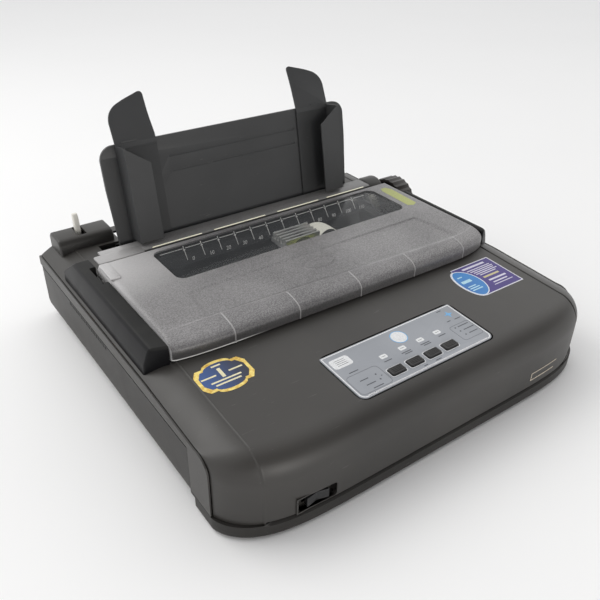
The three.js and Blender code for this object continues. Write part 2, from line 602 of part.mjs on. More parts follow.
// ---- carriage, head and ribbon -------------------------------------------------------
function makeCarriage() {
  const x = CARRIAGE_X;
  const block = join(box(x - 22, x + 22, 193, 230, 44, 58), box(x - 15, x + 15, 186, 194, 42, 55),
    box(x - 6, x + 6, 224, 235, 34, 45));
  const slot = box(x - 8, x + 8, 222.4, 225.6, 33, 38.6);
  const shelf = box(x - 22, x + 22, 200, 228, 57, 60);
  const bore = rod('x', RAIL.r + 0.1, x - 30, x + 30, RAIL.y, RAIL.z, 28);
  part('carriage', cut(join(block, shelf), bore, slot), finish(0x232325, 0.5));
  const head = join(rod('y', 14, 198, 224, x, 75.5, 28), box(x - 13, x + 13, 202, 220, 60.4, 76),
    box(x - 5, x + 5, 222, 234.6, 65, 76));
  part('print_head', head, finish(0x4a4b4e, 0.45, 0.7));
  const fins = [0, 1, 2, 3, 4].map((i) =>
    box(x - 21, x + 21, 197.5 + i * 5.5, 200 + i * 5.5, 84, 91));
  const rib = box(x - 1.5, x + 1.5, 198, 224, 84, 89);
  const sink = join(box(x - 21, x + 21, 197.5, 224.5, 80, 85), ...fins, rib);
  part('heat_sink', cut(sink, rod('y', 14 + GAP, 190, 230, x, 75.5, 28)),
    finish(0xb8babc, 0.35, 0.9));
}

function makeRibbon() {
  const shape = outline([[-140, 128], [140, 128], [140, 234], [128.5, 236], [128.5, 172],
    [-128.5, 172], [-128.5, 236], [-140, 234]]);
  part('ribbon_cartridge', prismXY(shape, 62, 81), trimBlack());
  const { x, y, r } = WINDER;
  const grip = box(x - 1.2, x + 1.2, y - r + 1, y + r - 1, 84, 88);
  part('ribbon_winder', join(rod('z', r, 81.4, 85.9, x, y), grip), greyPlastic());
  part('ribbon_band', box(-128.2, 128.2, 235.2, 235.7, 64, 77), finish(0x0d0d10, 0.7));
}

function pulley(x) {
  const { y, z0, z1, pulleyR } = BELT;
  const flange = (low, high) => rod('z', pulleyR + 1.6, low, high, x, y);
  const wheel = join(rod('z', pulleyR - GAP, z0 - 1, z1 + 1, x, y),
    flange(z1 + GAP, z1 + 1.6), flange(z0 - 1.6, z0 - GAP));
  return cut(wheel, rod('z', 2.3, z0 - 5, z1 + 5, x, y, 16));
}

function beltLoop(r, z0, z1) {
  const { y, pulleyX } = BELT;
  const shape = new THREE.Shape();
  shape.absarc(pulleyX, y, r, -Math.PI / 2, Math.PI / 2);
  shape.absarc(-pulleyX, y, r, Math.PI / 2, Math.PI * 1.5);
  return prismXY(shape, z0, z1);
}

function makeBeltDrive() {
  const { y, z0, z1, pulleyX, pulleyR, thick } = BELT;
  part('drive_pulley', pulley(-pulleyX), greyPlastic());
  part('idler_pulley', pulley(pulleyX), greyPlastic());
  part('timing_belt', cut(beltLoop(pulleyR + thick, z0, z1), beltLoop(pulleyR, z0 - 1, z1 + 1)),
    darkRubber());
  part('carriage_motor', join(rod('z', 19, 15.2, 37, -pulleyX, y, 28),
    rod('z', 2, 36, 51.5, -pulleyX, y, 12)), finish(0x3b3d40, 0.5, 0.6));
}

// Flat cable standing on edge in front of the carriage: out to the right and back.
function makeFlatCable() {
  const { near, far, turnX, endX, z0, z1, thick } = CABLE;
  const mid = (near + far) / 2;
  const r = (near - far) / 2;
  const startX = CARRIAGE_X - 12;
  const shape = new THREE.Shape();
  shape.moveTo(startX, near).lineTo(turnX, near);
  shape.absarc(turnX, mid, r, Math.PI / 2, -Math.PI / 2, true);
  shape.lineTo(endX, far).lineTo(endX, far - thick).lineTo(turnX, far - thick);
  shape.absarc(turnX, mid, r + thick, -Math.PI / 2, Math.PI / 2);
  shape.lineTo(startX, near + thick);
  part('head_flat_cable', prismXY(shape, z0, z1), finish(0xeceae2, 0.6));
}

// ---- tractor -------------------------------------------------------------------------
function makeTractor() {
  const { y, z } = TRACTOR;
  const square = (half, x0, x1) => box(x0, x1, y - half, y + half, z - half, z + half);
  const shaft = join(square(2.6, -144, 144), rod('x', 3, -153, -143, y, z, 20),
    rod('x', 3, 143, 162, y, z, 20));
  part('tractor_shaft', shaft, steel());
  const bar = TRACTOR_BAR;
  part('tractor_bar', rod('x', bar.r, -148.7, 148.7, y + bar.back, z - bar.down), steel());
  for (const [name, side, x] of TRACTORS) {
    part(`tractor_${name}`, tractorBody(side, x), trimBlack());
    part(`tractor_wheel_${name}`, sprocket(x), whitePlastic());
    part(`tractor_flap_${name}`, tractorFlap(side, x), trimBlack());
  }
}

function tractorBody(side, x) {
  const { y, z } = TRACTOR;
  const body = box(x - 7, x + 7, y - 9, y + 20, z - 28, z + 7);
  const lug = cut(box(x + side * 9 - 3, x + side * 9 + 3, y - 4, y + 0.6, z + 4.8, z + 12),
    rod('y', 2.1, y - 5, y + 1, x + side * 9.2, z + 9.6, 12));
  const through = (r, dy, dz) => rod('x', r, x - 8, x + 8, y + dy, z + dz);
  return cut(join(body, lug), rod('x', 13.2, x - 4, x + 4, y, z, 32), through(4.4, 0, 0),
    through(TRACTOR_BAR.r + 0.1, TRACTOR_BAR.back, -TRACTOR_BAR.down),
    box(x - 4, x + 4, y - 10, y + 10, z, z + 14));
}

function sprocket(x) {
  const { y, z } = TRACTOR;
  const pins = 8;
  let wheel = rod('x', 9.5, x - 3, x + 3, y, z, 32);
  for (let i = 0; i < pins; i += 1) {
    const a = (2 * Math.PI * i) / pins;
    const geometry = new THREE.CylinderGeometry(0.9, 1.7, 3.4, 10).translate(0, 10.6, 0);
    wheel = wheel.add(solid(geometry.rotateX(a).translate(x, y, z)));
  }
  return wheel.subtract(box(x - 5, x + 5, y - 2.9, y + 2.9, z - 2.9, z + 2.9));
}

// Flap that holds the paper's holes on the pins, hinged along the tractor's outer edge.
function tractorFlap(side, x) {
  const { y, z } = TRACTOR;
  const hinge = rod('y', 1.8, y - 3, y + 19, x + side * 9.2, z + 9.6, 12);
  const [x0, x1] = [x - side * 7, x + side * 9.2].sort((a, b) => a - b);
  const leaf = box(x0, x1, y + 1, y + 19, z + 8.6, z + 10.2);
  return join(hinge, leaf.subtract(box(x - 3, x + 3, y - 1, y + 13, z + 8, z + 11)));
}

// ---- levers --------------------------------------------------------------------------
function makeLevers() {
  const { x, y, z } = LEVER;
  const arm = outline([[y - 4, z - 2], [y + 4, z - 2], [y + 6.5, 104], [y + 5, 108],
    [y + 1.5, 108], [y - 0.5, 104]]);
  const release = join(prismYZ(arm, x - 2.5, x + 2.5), rod('x', 5, x - 2.5, x + 2.5, y, z, 20));
  part('release_lever', release.subtract(rod('x', 2.4, x - 5, x + 5, y, z, 16)), whitePlastic());
  const g = GAP_LEVER;
  const gap = outline([[g.y - 3, g.z], [g.y + 3, g.z], [g.y + 4, g.z + 26], [g.y + 2, g.z + 28],
    [g.y - 1, g.z + 28], [g.y - 3, g.z + 26]]);
  part('head_gap_lever', join(prismYZ(gap, -146.6, -143), rod('x', 4.5, -148.4, -143, g.y, g.z, 20),
    rod('x', 2.5, -151.5, -147, g.y, g.z, 16)), greyPlastic());
}

// ---- electrics -----------------------------------------------------------------------
function makeMainBoard() {
  // Centre x and y, width and depth of the large components.
  const chips = [[-60, 60, 24, 18], [0, 70, 16, 16], [40, 45, 30, 12], [80, 95, 14, 26],
    [-100, 100, 20, 26]].map(([x, y, w, d]) =>
    box(x - w / 2, x + w / 2, y - d / 2, y + d / 2, 23.5, 28));
  const posts = [[-130, 40], [130, 40], [-130, 132], [130, 132]].map(([x, y]) =>
    rod('z', 3.5, 14.8, 22.2, x, y, 12));
  part('main_board', join(box(-140, 140, 32, 140, 22, 23.6), ...chips, ...posts),
    finish(0x2b5a38, 0.6));
}

// Board with a transformer, two heat sinks and a capacitor.
function makePowerSupply() {
  const top = 18.5;
  const supply = join(box(-192, -158, 130, 300, 17, 18.6), box(-190, -162, 150, 190, top, 46),
    box(-190, -164, 200, 212, top, 40), rod('z', 9, top, 44, -176, 232, 20),
    box(-190, -162, 250, 285, top, 38), rod('z', 3, 14.8, 18, -175, 140, 12),
    rod('z', 3, 14.8, 18, -175, 292, 12));
  part('power_supply', supply, finish(0xb08a4a, 0.6));
}

function makeInlet() {
  const { x, z, w, h, deep, wall } = INLET;
  const body = box(x - w / 2 + GAP, x + w / 2 - GAP, REAR_Y - deep, REAR_Y,
    z - h / 2 + GAP, z + h / 2 - GAP);
  const hollow = box(x - w / 2 + wall, x + w / 2 - wall, REAR_Y - 14, REAR_Y + 1,
    z - h / 2 + wall, z + h / 2 - wall);
  const blades = [-7, 0, 7].map((dx) =>
    box(x + dx - 1, x + dx + 1, REAR_Y - 15, REAR_Y - 4, z - 2, z + 2));
  part('mains_inlet', join(cut(body, hollow), ...blades), trimBlack());
}

// Metal shell of a data connector, open to the rear.
function connector({ x, w, z0, z1, rim }) {
  const shell = (grow, front, rear) => box(x - w / 2 + GAP + grow, x + w / 2 - GAP - grow,
    front, rear, z0 + GAP + grow, z1 - GAP - grow);
  return cut(shell(0, REAR_Y - 12, REAR_Y), shell(rim, REAR_Y - 8, REAR_Y + 1));
}

function makePorts() {
  part('parallel_port', connector(PORTS.parallel), steel());
  part('usb_port', connector(PORTS.usb), steel());
}

makeCase();
makeCoverBlocks();
makeCover();
makeTearBar();
makePaperGuide();
makeEdgeGuides();
makeControlPanel();
makePowerSwitch();
makeMechanismFrame();
makeFeedTrain();
makePlaten();
makeCarriage();
makeRibbon();
makeBeltDrive();
makeFlatCable();
makeTractor();
makeLevers();
makeMainBoard();
makePowerSupply();
makeInlet();
makePorts();

// Origin at the centre of the footprint, on the desk.
object.updateMatrixWorld(true);
const bounds = new THREE.Box3().setFromObject(object);
const centre = bounds.getCenter(new THREE.Vector3());
object.position.set(-centre.x, -centre.y, -bounds.min.z);

export default object;
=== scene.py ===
import math

import bmesh
import bpy
from mathutils import Matrix, Vector


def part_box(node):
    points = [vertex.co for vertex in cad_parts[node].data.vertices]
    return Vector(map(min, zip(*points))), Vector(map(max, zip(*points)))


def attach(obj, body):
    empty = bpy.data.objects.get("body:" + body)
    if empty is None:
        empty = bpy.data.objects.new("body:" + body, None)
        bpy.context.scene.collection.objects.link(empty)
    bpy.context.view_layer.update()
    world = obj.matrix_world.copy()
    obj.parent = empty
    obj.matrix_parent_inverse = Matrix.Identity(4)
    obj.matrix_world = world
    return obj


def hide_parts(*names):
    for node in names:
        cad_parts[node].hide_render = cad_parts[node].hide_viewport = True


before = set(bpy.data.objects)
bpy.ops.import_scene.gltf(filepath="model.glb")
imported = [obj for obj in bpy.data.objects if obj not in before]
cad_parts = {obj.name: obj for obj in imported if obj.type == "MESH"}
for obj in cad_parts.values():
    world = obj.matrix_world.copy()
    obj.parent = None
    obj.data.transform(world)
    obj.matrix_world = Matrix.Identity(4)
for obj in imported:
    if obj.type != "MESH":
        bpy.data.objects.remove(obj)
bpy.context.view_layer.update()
bpy.ops.object.select_all(action="DESELECT")

# ---- room ----------------------------------------------------------------------------
# A wide pale table in a white studio: a large soft light high at the back left, a faint one at
# the right and a low one in front. A dim patch of the room, high and in front, is mirrored as
# a dark band by the case's rounded front edge. The camera stands above the front left corner.
CAMERA_LENS = 41.147
CAMERA_PLACE = (-0.34556, -0.45809, 0.40832)
CAMERA_DEGREES = (57.53, -0.802, -35.532)
ROOM_WHITE, ROOM_DIM = (1.08, 1.08, 1.08), (0.14, 0.14, 0.15)
TABLE_WIDTH = 60.0

camera_data = bpy.data.cameras.new("camera")
camera_data.lens = CAMERA_LENS
camera = bpy.data.objects.new("camera", camera_data)
camera.location = CAMERA_PLACE
camera.rotation_euler = [math.radians(a) for a in CAMERA_DEGREES]
bpy.context.scene.collection.objects.link(camera)
bpy.context.scene.camera = camera


def soft_light(name, place, size, power, tint):
    data = bpy.data.lights.new(name, "AREA")
    data.shape = "SQUARE"
    data.size = size
    data.energy = power
    data.color = tint
    lamp = bpy.data.objects.new(name, data)
    lamp.location = place
    lamp.rotation_euler = (-Vector(place)).to_track_quat("-Z", "Y").to_euler()
    bpy.context.scene.collection.objects.link(lamp)


soft_light("back_left_light", (-0.75, 0.75, 1.25), 0.9, 7.0, (1.0, 0.99, 0.97))
soft_light("right_light", (1.3, 0.1, 1.0), 0.8, 0.6, (1.0, 0.97, 0.93))
soft_light("front_light", (-0.1, -1.6, 0.35), 0.6, 5.0, (1.0, 0.97, 0.93))


class Shade:
    """One socket of a node tree. + - * / and ** add Math nodes, so formulas read as formulas."""

    def __init__(self, tree, socket=None):
        self.tree = tree
        self.socket = socket

    def node(self, kind, settings=None, output=0, **values):
        """Adds a node, makes its settings, then fills or links its sockets."""
        made = self.tree.nodes.new("ShaderNode" + kind)
        for name, value in (settings or {}).items():
            setattr(made, name, value)
        for name, value in values.items():
            key = int(name[1:]) if name[1:].isdigit() else name.replace("_", " ")
            if isinstance(value, Shade):
                self.tree.links.new(value.socket, made.inputs[key])
            else:
                made.inputs[key].default_value = value
        return Shade(self.tree, made.outputs[output])

    def math(self, operation, first, second=0.0):
        return self.node("Math", {"operation": operation}, i0=first, i1=second)

    def __add__(self, other):
        return self.math("ADD", self, other)

    def __sub__(self, other):
        return self.math("SUBTRACT", self, other)

    def __mul__(self, other):
        return self.math("MULTIPLY", self, other)

    def __truediv__(self, other):
        return self.math("DIVIDE", self, other)

    def __pow__(self, other):
        return self.math("POWER", self, other)

    def __rsub__(self, other):
        return self.math("SUBTRACT", other, self)

    def __rtruediv__(self, other):
        return self.math("DIVIDE", other, self)

    __radd__ = __add__
    __rmul__ = __mul__

    def at_least(self, other):
        return self.math("MAXIMUM", self, other)

    def magnitude(self):
        return self.math("ABSOLUTE", self)

    def sine(self):
        return self.math("SINE", self)

    def between(self, low, high):
        """0 below low, 1 above high, smooth between."""
        return self.node("MapRange", {"interpolation_type": "SMOOTHSTEP"},
                         Value=self, From_Min=low, From_Max=high)

    def mix(self, factor, first, second):
        def colour(value):
            return value if isinstance(value, Shade) else (*value, 1)
        return self.node("Mix", {"data_type": "RGBA"}, 2, i0=factor, i6=colour(first),
                         i7=colour(second))

    def noise(self, scale, detail=2.0, roughness=0.5, distortion=0.0, stretch=None):
        place = self.node("TexCoord", output=3)
        if stretch:
            place = self.node("Mapping", Vector=place, Scale=stretch)
        return self.node("TexNoise", Vector=place, Scale=scale, Detail=detail,
                         Roughness=roughness, Distortion=distortion)

    def axis(self, index):
        """The x, y or z of the object's own coordinates, in metres."""
        return self.node("SeparateXYZ", output=index, i0=self.node("TexCoord", output=3))

    def bump(self, height, distance, strength=1.0, under=None):
        more = {} if under is None else {"Normal": under}
        return self.node("Bump", Height=height, Distance=distance, Strength=strength, **more)


room = bpy.data.worlds.new("white_room")
bpy.context.scene.world = room
room.use_nodes = True
sky = Shade(room.node_tree)
ahead = sky.node("SeparateXYZ", output=1, i0=sky.node("TexCoord", output=0))
above = sky.node("SeparateXYZ", output=2, i0=sky.node("TexCoord", output=0))
dim = ahead.between(0.10, -0.60) * above.between(0.12, 0.45)
backdrop = sky.mix(dim, ROOM_WHITE, ROOM_DIM)
room.node_tree.links.new(backdrop.socket, room.node_tree.nodes["Background"].inputs["Color"])

bpy.context.scene.view_settings.view_transform = "Standard"


def material(name, paint):
    """paint(shade) gives the shader's sockets by name; what stays constant is a plain number."""
    made = bpy.data.materials.new(name)
    made.use_nodes = True
    tree = made.node_tree
    shader = tree.nodes["Principled BSDF"]
    for key, value in paint(Shade(tree)).items():
        socket = shader.inputs[key.replace("_", " ")]
        if isinstance(value, Shade):
            tree.links.new(value.socket, socket)
        else:
            socket.default_value = (*value, 1) if isinstance(value, tuple) else value
    return made


def table_white(s):
    drift = s.noise(3, 2)
    return {"Base_Color": s.mix(drift, (0.93, 0.93, 0.93), (0.95, 0.95, 0.95)),
            "Roughness": 0.75 + drift * 0.1, "Specular_IOR_Level": 0.2}


bpy.ops.mesh.primitive_plane_add(size=TABLE_WIDTH)
table = bpy.context.object
table.name = "table"
table.data.materials.append(material("table_white", table_white))


# ---- upper case ----------------------------------------------------------------------
# The upper case is one injection moulding in warm charcoal plastic with a fine spark-eroded
# grain. Its deck falls slightly to the front, rolls over into the bowed front wall, and is
# bounded by a thin ridge on the left and a deep groove on the right and along the bottom.

# Every piece is drawn in millimetres from the case's centre line, the front end of its side
# walls and the table, and moved into the frame when it is finished.
case_low, case_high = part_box("lower_case")
CENTRE_X = (case_low.x + case_high.x) / 2
DATUM_Y = case_high.y - 0.350
TO_FRAME = Matrix.Translation((CENTRE_X, DATUM_Y, 0)) @ Matrix.Scale(0.001, 4)
HALF_W, REAR_Y, BOW, DECK_Z, ROLL_R = 200.0, 350.0, 37.0, 80.0, 24.0
DECK_SLOPE, DECK_BREAK_Y = 0.0545, 98.0
PART_Z, PART_FRONT_Z, PART_Y, WALL = 57.8, 14.1, 30.0, 2.5
RIDGE_X, EDGE_X, CHEEK_FALL = 172.3, 198.0, 11.0
GROOVE_DEPTH, GROOVE_HALF, GROOVE_CORNER = 2.4, 1.7, 17.0
RIDGE_STEP, RIDGE_BEAD, FRONT_FALL, LEAN, REAR_R = 0.7, 0.35, 2.0, 0.8, 4.0


def clamp(value):
    return min(1.0, max(0.0, value))


def ease(start, end, value):
    t = clamp((value - start) / (end - start))
    return t * t * (3 - 2 * t)


def deck_z(y):
    return DECK_Z - DECK_SLOPE * max(0.0, DECK_BREAK_Y - y)


def front_y(x, half=HALF_W):
    return -BOW * (1 - min(1.0, abs(x / half)) ** 7) ** 0.63


def grained_plastic(name, dark, light, rough=0.46, grain=1500, depth=0.00004, **more):
    """Moulded plastic: eroded grain, slow tone changes, handling marks and fine hair scratches."""
    def paint(s):
        slow = s.noise(9, 3)
        fine = s.noise(grain, 2, 0.6)
        handled = s.noise(26, 6, 0.6, 0.8)
        hairs = s.noise(60, 3, 0.5, 0.2, (1, 14, 5)).between(0.71, 0.74)
        tone = s.mix(slow.between(0.3, 0.7) * 0.8 + fine * 0.2, dark, light)
        dusty = s.mix(hairs * 0.10, tone, (0.35, 0.34, 0.32))
        roughness = rough - 0.07 + handled * 0.12 + fine * 0.05 - hairs * 0.05
        normal = s.bump(fine, depth, 0.7, s.bump(slow, 0.0004, 0.25))
        return {"Base_Color": dusty, "Roughness": roughness, "Normal": normal, **more}
    return material(name, paint)


case_plastic = grained_plastic("case_plastic", (0.028, 0.026, 0.0235), (0.042, 0.039, 0.0355), 0.40)


def pick(piece, mode="OBJECT"):
    """Makes a piece the only one selected, and sets the mode."""
    if bpy.context.object and bpy.context.object.mode != "OBJECT":
        bpy.ops.object.mode_set(mode="OBJECT")
    bpy.ops.object.select_all(action="DESELECT")
    piece.select_set(True)
    bpy.context.view_layer.objects.active = piece
    if mode != "OBJECT":
        bpy.ops.object.mode_set(mode=mode)


def added(name):
    piece = bpy.context.object
    piece.name = name
    bpy.ops.object.transform_apply(location=True, rotation=True, scale=True)
    return piece


def block(name, low, high):
    """A box between two corners, ready to be shaped."""
    size = [b - a for a, b in zip(low, high)]
    middle = [(a + b) / 2 for a, b in zip(low, high)]
    bpy.ops.object.select_all(action="DESELECT")
    bpy.ops.mesh.primitive_cube_add(size=1, location=middle, scale=size)
    return added(name)


def disc(name, radius, depth, middle, axis="z", sides=48):
    """A round bar along one axis."""
    turn = {"x": (0, math.pi / 2, 0), "y": (math.pi / 2, 0, 0), "z": (0, 0, 0)}[axis]
    bpy.ops.object.select_all(action="DESELECT")
    bpy.ops.mesh.primitive_cylinder_add(vertices=sides, radius=radius, depth=depth,
                                        location=middle, rotation=turn)
    return added(name)


def modify(piece, kind, **settings):
    """Adds one modifier and applies it."""
    pick(piece)
    modifier = piece.modifiers.new(kind.lower(), kind)
    for name, value in settings.items():
        setattr(modifier, name, value)
    bpy.ops.object.modifier_apply(modifier=modifier.name)
    return piece


def soften(piece, width, segments=2, angle=32):
    """Rounds every sharp edge."""
    return modify(piece, "BEVEL", width=width, segments=segments, limit_method="ANGLE",
                  angle_limit=math.radians(angle), use_clamp_overlap=True, miter_outer="MITER_ARC")


def merge(first, *others):
    pick(first)
    for piece in others:
        piece.select_set(True)
    bpy.ops.object.join()
    return first


def carve(piece, *cutters):
    """Cuts the cutters out of the piece and throws them away."""
    for cutter in cutters:
        modify(piece, "BOOLEAN", operation="DIFFERENCE", solver="MANIFOLD", object=cutter)
        bpy.data.objects.remove(cutter)
    return piece


def outward(piece):
    """Joins doubled points and makes the faces agree."""
    pick(piece, "EDIT")
    bpy.ops.mesh.select_all(action="SELECT")
    bpy.ops.mesh.remove_doubles(threshold=0.001)
    bpy.ops.mesh.normals_make_consistent(inside=False)
    bpy.ops.object.mode_set(mode="OBJECT")
    return piece


def face_towards(piece, direction):
    """Turns an open sheet over if its faces look away from the direction on the whole."""
    if sum(face.normal.dot(Vector(direction)) * face.area for face in piece.data.polygons) < 0:
        piece.data.flip_normals()
    return piece


def slab(name, outline, low, high, plane="xy"):
    """An outline in one plane pulled out along the third axis, as a filled face extruded."""
    order = {"xy": lambda a, b, c: (a, b, c), "yz": lambda a, b, c: (c, a, b),
             "xz": lambda a, b, c: (a, c, b)}[plane]
    mesh = bpy.data.meshes.new(name)
    mesh.from_pydata([order(a, b, low) for a, b in outline], [], [range(len(outline))])
    piece = bpy.data.objects.new(name, mesh)
    bpy.context.scene.collection.objects.link(piece)
    pick(piece, "EDIT")
    bpy.ops.mesh.select_all(action="SELECT")
    bpy.ops.mesh.extrude_region_move(
        TRANSFORM_OT_translate={"value": order(0, 0, high - low)})
    bpy.ops.object.mode_set(mode="OBJECT")
    return outward(piece)


def settle(piece, body, slot, look, *stands_for, flat=35):
    """Smooths a finished piece, moves it into the frame and says what it rides on."""
    pick(piece)
    bpy.ops.object.shade_smooth_by_angle(angle=math.radians(flat))
    piece.data.transform(TO_FRAME)
    piece.data.materials.clear()
    piece.data.materials.append(look)
    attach(piece, body)
    if stands_for:
        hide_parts(*stands_for)
    return piece


def formed_grid(name, columns, rows, place):
    """A grid whose point (i, j) is put at place(columns[i], rows[j])."""
    bpy.ops.object.select_all(action="DESELECT")
    bpy.ops.mesh.primitive_grid_add(x_subdivisions=len(columns) - 1,
                                    y_subdivisions=len(rows) - 1, size=2)
    piece = added(name)
    for point in piece.data.vertices:
        i = round((point.co.x + 1) / 2 * (len(columns) - 1))
        j = round((point.co.y + 1) / 2 * (len(rows) - 1))
        point.co = place(columns[i], rows[j])
    return piece


def spread(start, end, count):
    """count even steps from start, without the end."""
    return [start + (end - start) * i / count for i in range(count)]


def case_columns():
    """Close together at the round corners, the ridge and the groove."""
    plain = [-EDGE_X * math.cos(math.pi * i / 110) for i in range(111)]
    near = [side * (RIDGE_X + d) for side in (-1, 1)
            for d in (-3.0, -2.2, -1.6, -1.1, -0.7, -0.3, 0.1, 0.5, 0.9, 1.4, 2.0, 2.8)]
    kept = [x for x in plain if abs(abs(x) - RIDGE_X) > 3.6]
    return sorted(kept + near)


def case_rows():
    """Each row is (part of the profile, share along it)."""
    wall = [("wall", t) for t in (0, 0.015, 0.03, 0.045, 0.06, 0.08, 0.10, 0.13, 0.17, 0.22,
                                  0.28, 0.36, 0.44, 0.52, 0.61, 0.7, 0.8, 0.9)]
    roll = [("roll", t) for t in spread(0, 1, 18)]
    deck = [("deck", t) for t in spread(0, 1, 60)]
    back = [("back", t) for t in (0, 0.15, 0.3, 0.45, 0.6, 0.8, 1.0)]
    rear = [("rear", t) for t in (0.3, 0.6, 1.0)]
    return wall + roll + deck + back + rear


def groove_at(x, up):
    """Depth of the groove: along the bottom from the left ridge, round the right corner, and up."""
    corner_x = RIDGE_X - GROOVE_CORNER
    if x > corner_x and up < GROOVE_CORNER:
        away = abs(math.hypot(x - corner_x, GROOVE_CORNER - up) - GROOVE_CORNER)
    elif x > corner_x:
        away = abs(x - RIDGE_X)
    else:
        away = up if x > -RIDGE_X + 3 else math.hypot(x + RIDGE_X - 3, up)
    return GROOVE_DEPTH * (1 - ease(0.35 * GROOVE_HALF, GROOVE_HALF, away))


def case_point(x, row):
    """A point of the skin: up the front wall, over the roll, back along the deck, down the rear."""
    part, t = row
    turn_y = front_y(x, EDGE_X + 0.5) + ROLL_R
    centre_z = deck_z(turn_y) - ROLL_R
    beyond = clamp((abs(x) - RIDGE_X) / (EDGE_X - RIDGE_X))
    step = ease(RIDGE_X - 0.2, RIDGE_X + 0.5, abs(x)) * RIDGE_STEP
    bead = RIDGE_BEAD * (1 - ease(0.0, 0.9, abs(abs(x) - RIDGE_X + 0.9)))
    fall_top = step + (CHEEK_FALL - RIDGE_STEP) * beyond ** 1.7 - bead
    fall_front = step * 0.8 + FRONT_FALL * beyond ** 2 - bead * 0.6
    groove = groove_at(x, (centre_z - PART_FRONT_Z) * (t if part == "wall" else 1.0))
    if part == "wall":
        return (x, turn_y - ROLL_R + LEAN + fall_front + groove,
                PART_FRONT_Z + 0.1 + (centre_z - PART_FRONT_Z - 0.1) * t)
    if part == "roll":
        a = math.pi / 2 * t
        fall = fall_front + (fall_top - fall_front) * math.sin(a) ** 2 + groove
        reach = ROLL_R - fall
        return (x, turn_y + LEAN * (1 - t) - reach * math.cos(a), centre_z + reach * math.sin(a))
    if part == "deck":
        y = turn_y + (REAR_Y - REAR_R - turn_y) * t
        return (x, y, deck_z(y) - fall_top - groove)
    if part == "back":
        a = math.pi / 2 * t
        top = DECK_Z - fall_top - groove
        return (x, REAR_Y - REAR_R + REAR_R * math.sin(a), top - REAR_R + REAR_R * math.cos(a))
    top = DECK_Z - REAR_R - fall_top - groove
    return (x, REAR_Y, top + (PART_Z + 0.4 - top) * t)


def side_wall(side):
    """The flat side of the upper case, inside the seam that its shoulder makes."""
    rows = case_rows()
    edge = [case_point(EDGE_X, row)[1:] for row in rows[::2] + rows[-1:]]
    edge = [(y - 0.2, z + 0.3) for y, z in edge]
    low = [(REAR_Y, PART_Z + 0.4), (PART_Y + 0.3, PART_Z + 0.4), (PART_Y + 0.3, PART_FRONT_Z + 0.2),
           (edge[0][0], PART_FRONT_Z + 0.2)]
    x = sorted((side * (EDGE_X + 0.5), side * HALF_W))
    wall = slab("side_wall", edge[1:-1] + low, x[0], x[1], "yz")
    return soften(wall, 0.3, 1)


def deck_tilt(piece, y_mid):
    """Lays a piece drawn on z = 0 on the falling deck."""
    piece.data.transform(Matrix.Translation((0, y_mid, deck_z(y_mid)))
                         @ Matrix.Rotation(math.atan(DECK_SLOPE), 4, "X")
                         @ Matrix.Translation((0, -y_mid, 0)))
    return piece


def rounded(x0, x1, y0, y1, radius, steps=6):
    """Outline of a rectangle with round corners."""
    corners = [(x1 - radius, y1 - radius), (x0 + radius, y1 - radius),
               (x0 + radius, y0 + radius), (x1 - radius, y0 + radius)]
    points = []
    for quarter, (cx, cy) in enumerate(corners):
        for i in range(steps + 1):
            a = math.pi / 2 * (quarter + i / steps)
            points.append((cx + radius * math.cos(a), cy + radius * math.sin(a)))
    return points


PANEL = {"x0": -76.6, "x1": 67.8, "y0": -15.6, "y1": 39.8}
PANEL_MID = (PANEL["y0"] + PANEL["y1"]) / 2
SWITCH = {"x": -131.0, "z": 23.0, "w": 34.0, "h": 13.0}
WELL = {"x": 181.0, "y0": 221.0, "y1": 283.0, "floor": 34.0}

HUMP = (167, 267, 78)
GUIDE_OPENING = [(-150, 263), (150, 263), (150, 336), (-126, 336), (-126, 312), (-150, 312)]
HOUSING_SECTION = [(315.6, 70), (317.6, 86), (321, 91), (325, 92), (345, 92), (349.6, 88),
                   (349.6, 70)]


def well_cut():
    """The room for the knob, open to the right."""
    return block("well_cut", (WELL["x"], WELL["y0"], WELL["floor"]), (HALF_W + 10, WELL["y1"], 95))


shell = formed_grid("case_top", case_columns(), case_rows(), case_point)
face_towards(outward(shell), (0, 0, 1))
modify(shell, "SOLIDIFY", thickness=WALL, offset=-1, use_even_offset=False)
top_cut = slab("top_cut", rounded(-170.5, 170.5, 104, 262, 3), 60, 95)
guide_cut = slab("guide_cut", GUIDE_OPENING, 60, 95)
recess = rounded(PANEL["x0"] - 1.5, PANEL["x1"] + 1.5, PANEL["y0"] - 1.5, PANEL["y1"] + 1.5, 7.5)
panel_cut = deck_tilt(slab("panel_cut", recess, -9, 4), PANEL_MID)
switch_x = (SWITCH["x"] - SWITCH["w"] / 2, SWITCH["x"] + SWITCH["w"] / 2)
switch_z = (SWITCH["z"] - SWITCH["h"] / 2, SWITCH["z"] + SWITCH["h"] / 2)
switch_cut = slab("switch_cut", rounded(*switch_x, *switch_z, 2.5), -60, -20, "xz")
forms_cut = block("forms_cut", (-125, 340, 61), (125, 355, 75))
carve(shell, top_cut, guide_cut, panel_cut, switch_cut, forms_cut, well_cut())
right_wall = carve(side_wall(1), well_cut())


def open_tray(name, low, high, openings):
    """A box without the faces that look along the given directions, with its walls outside."""
    tray = block(name, low, high)
    pick(tray, "EDIT")
    bpy.ops.mesh.select_all(action="DESELECT")
    bpy.ops.object.mode_set(mode="OBJECT")
    for face in tray.data.polygons:
        face.select = any(face.normal.dot(Vector(d)) > 0.9 for d in openings)
    pick(tray, "EDIT")
    bpy.ops.mesh.delete(type="FACE")
    bpy.ops.object.mode_set(mode="OBJECT")
    return modify(tray, "SOLIDIFY", thickness=1.6, offset=1)


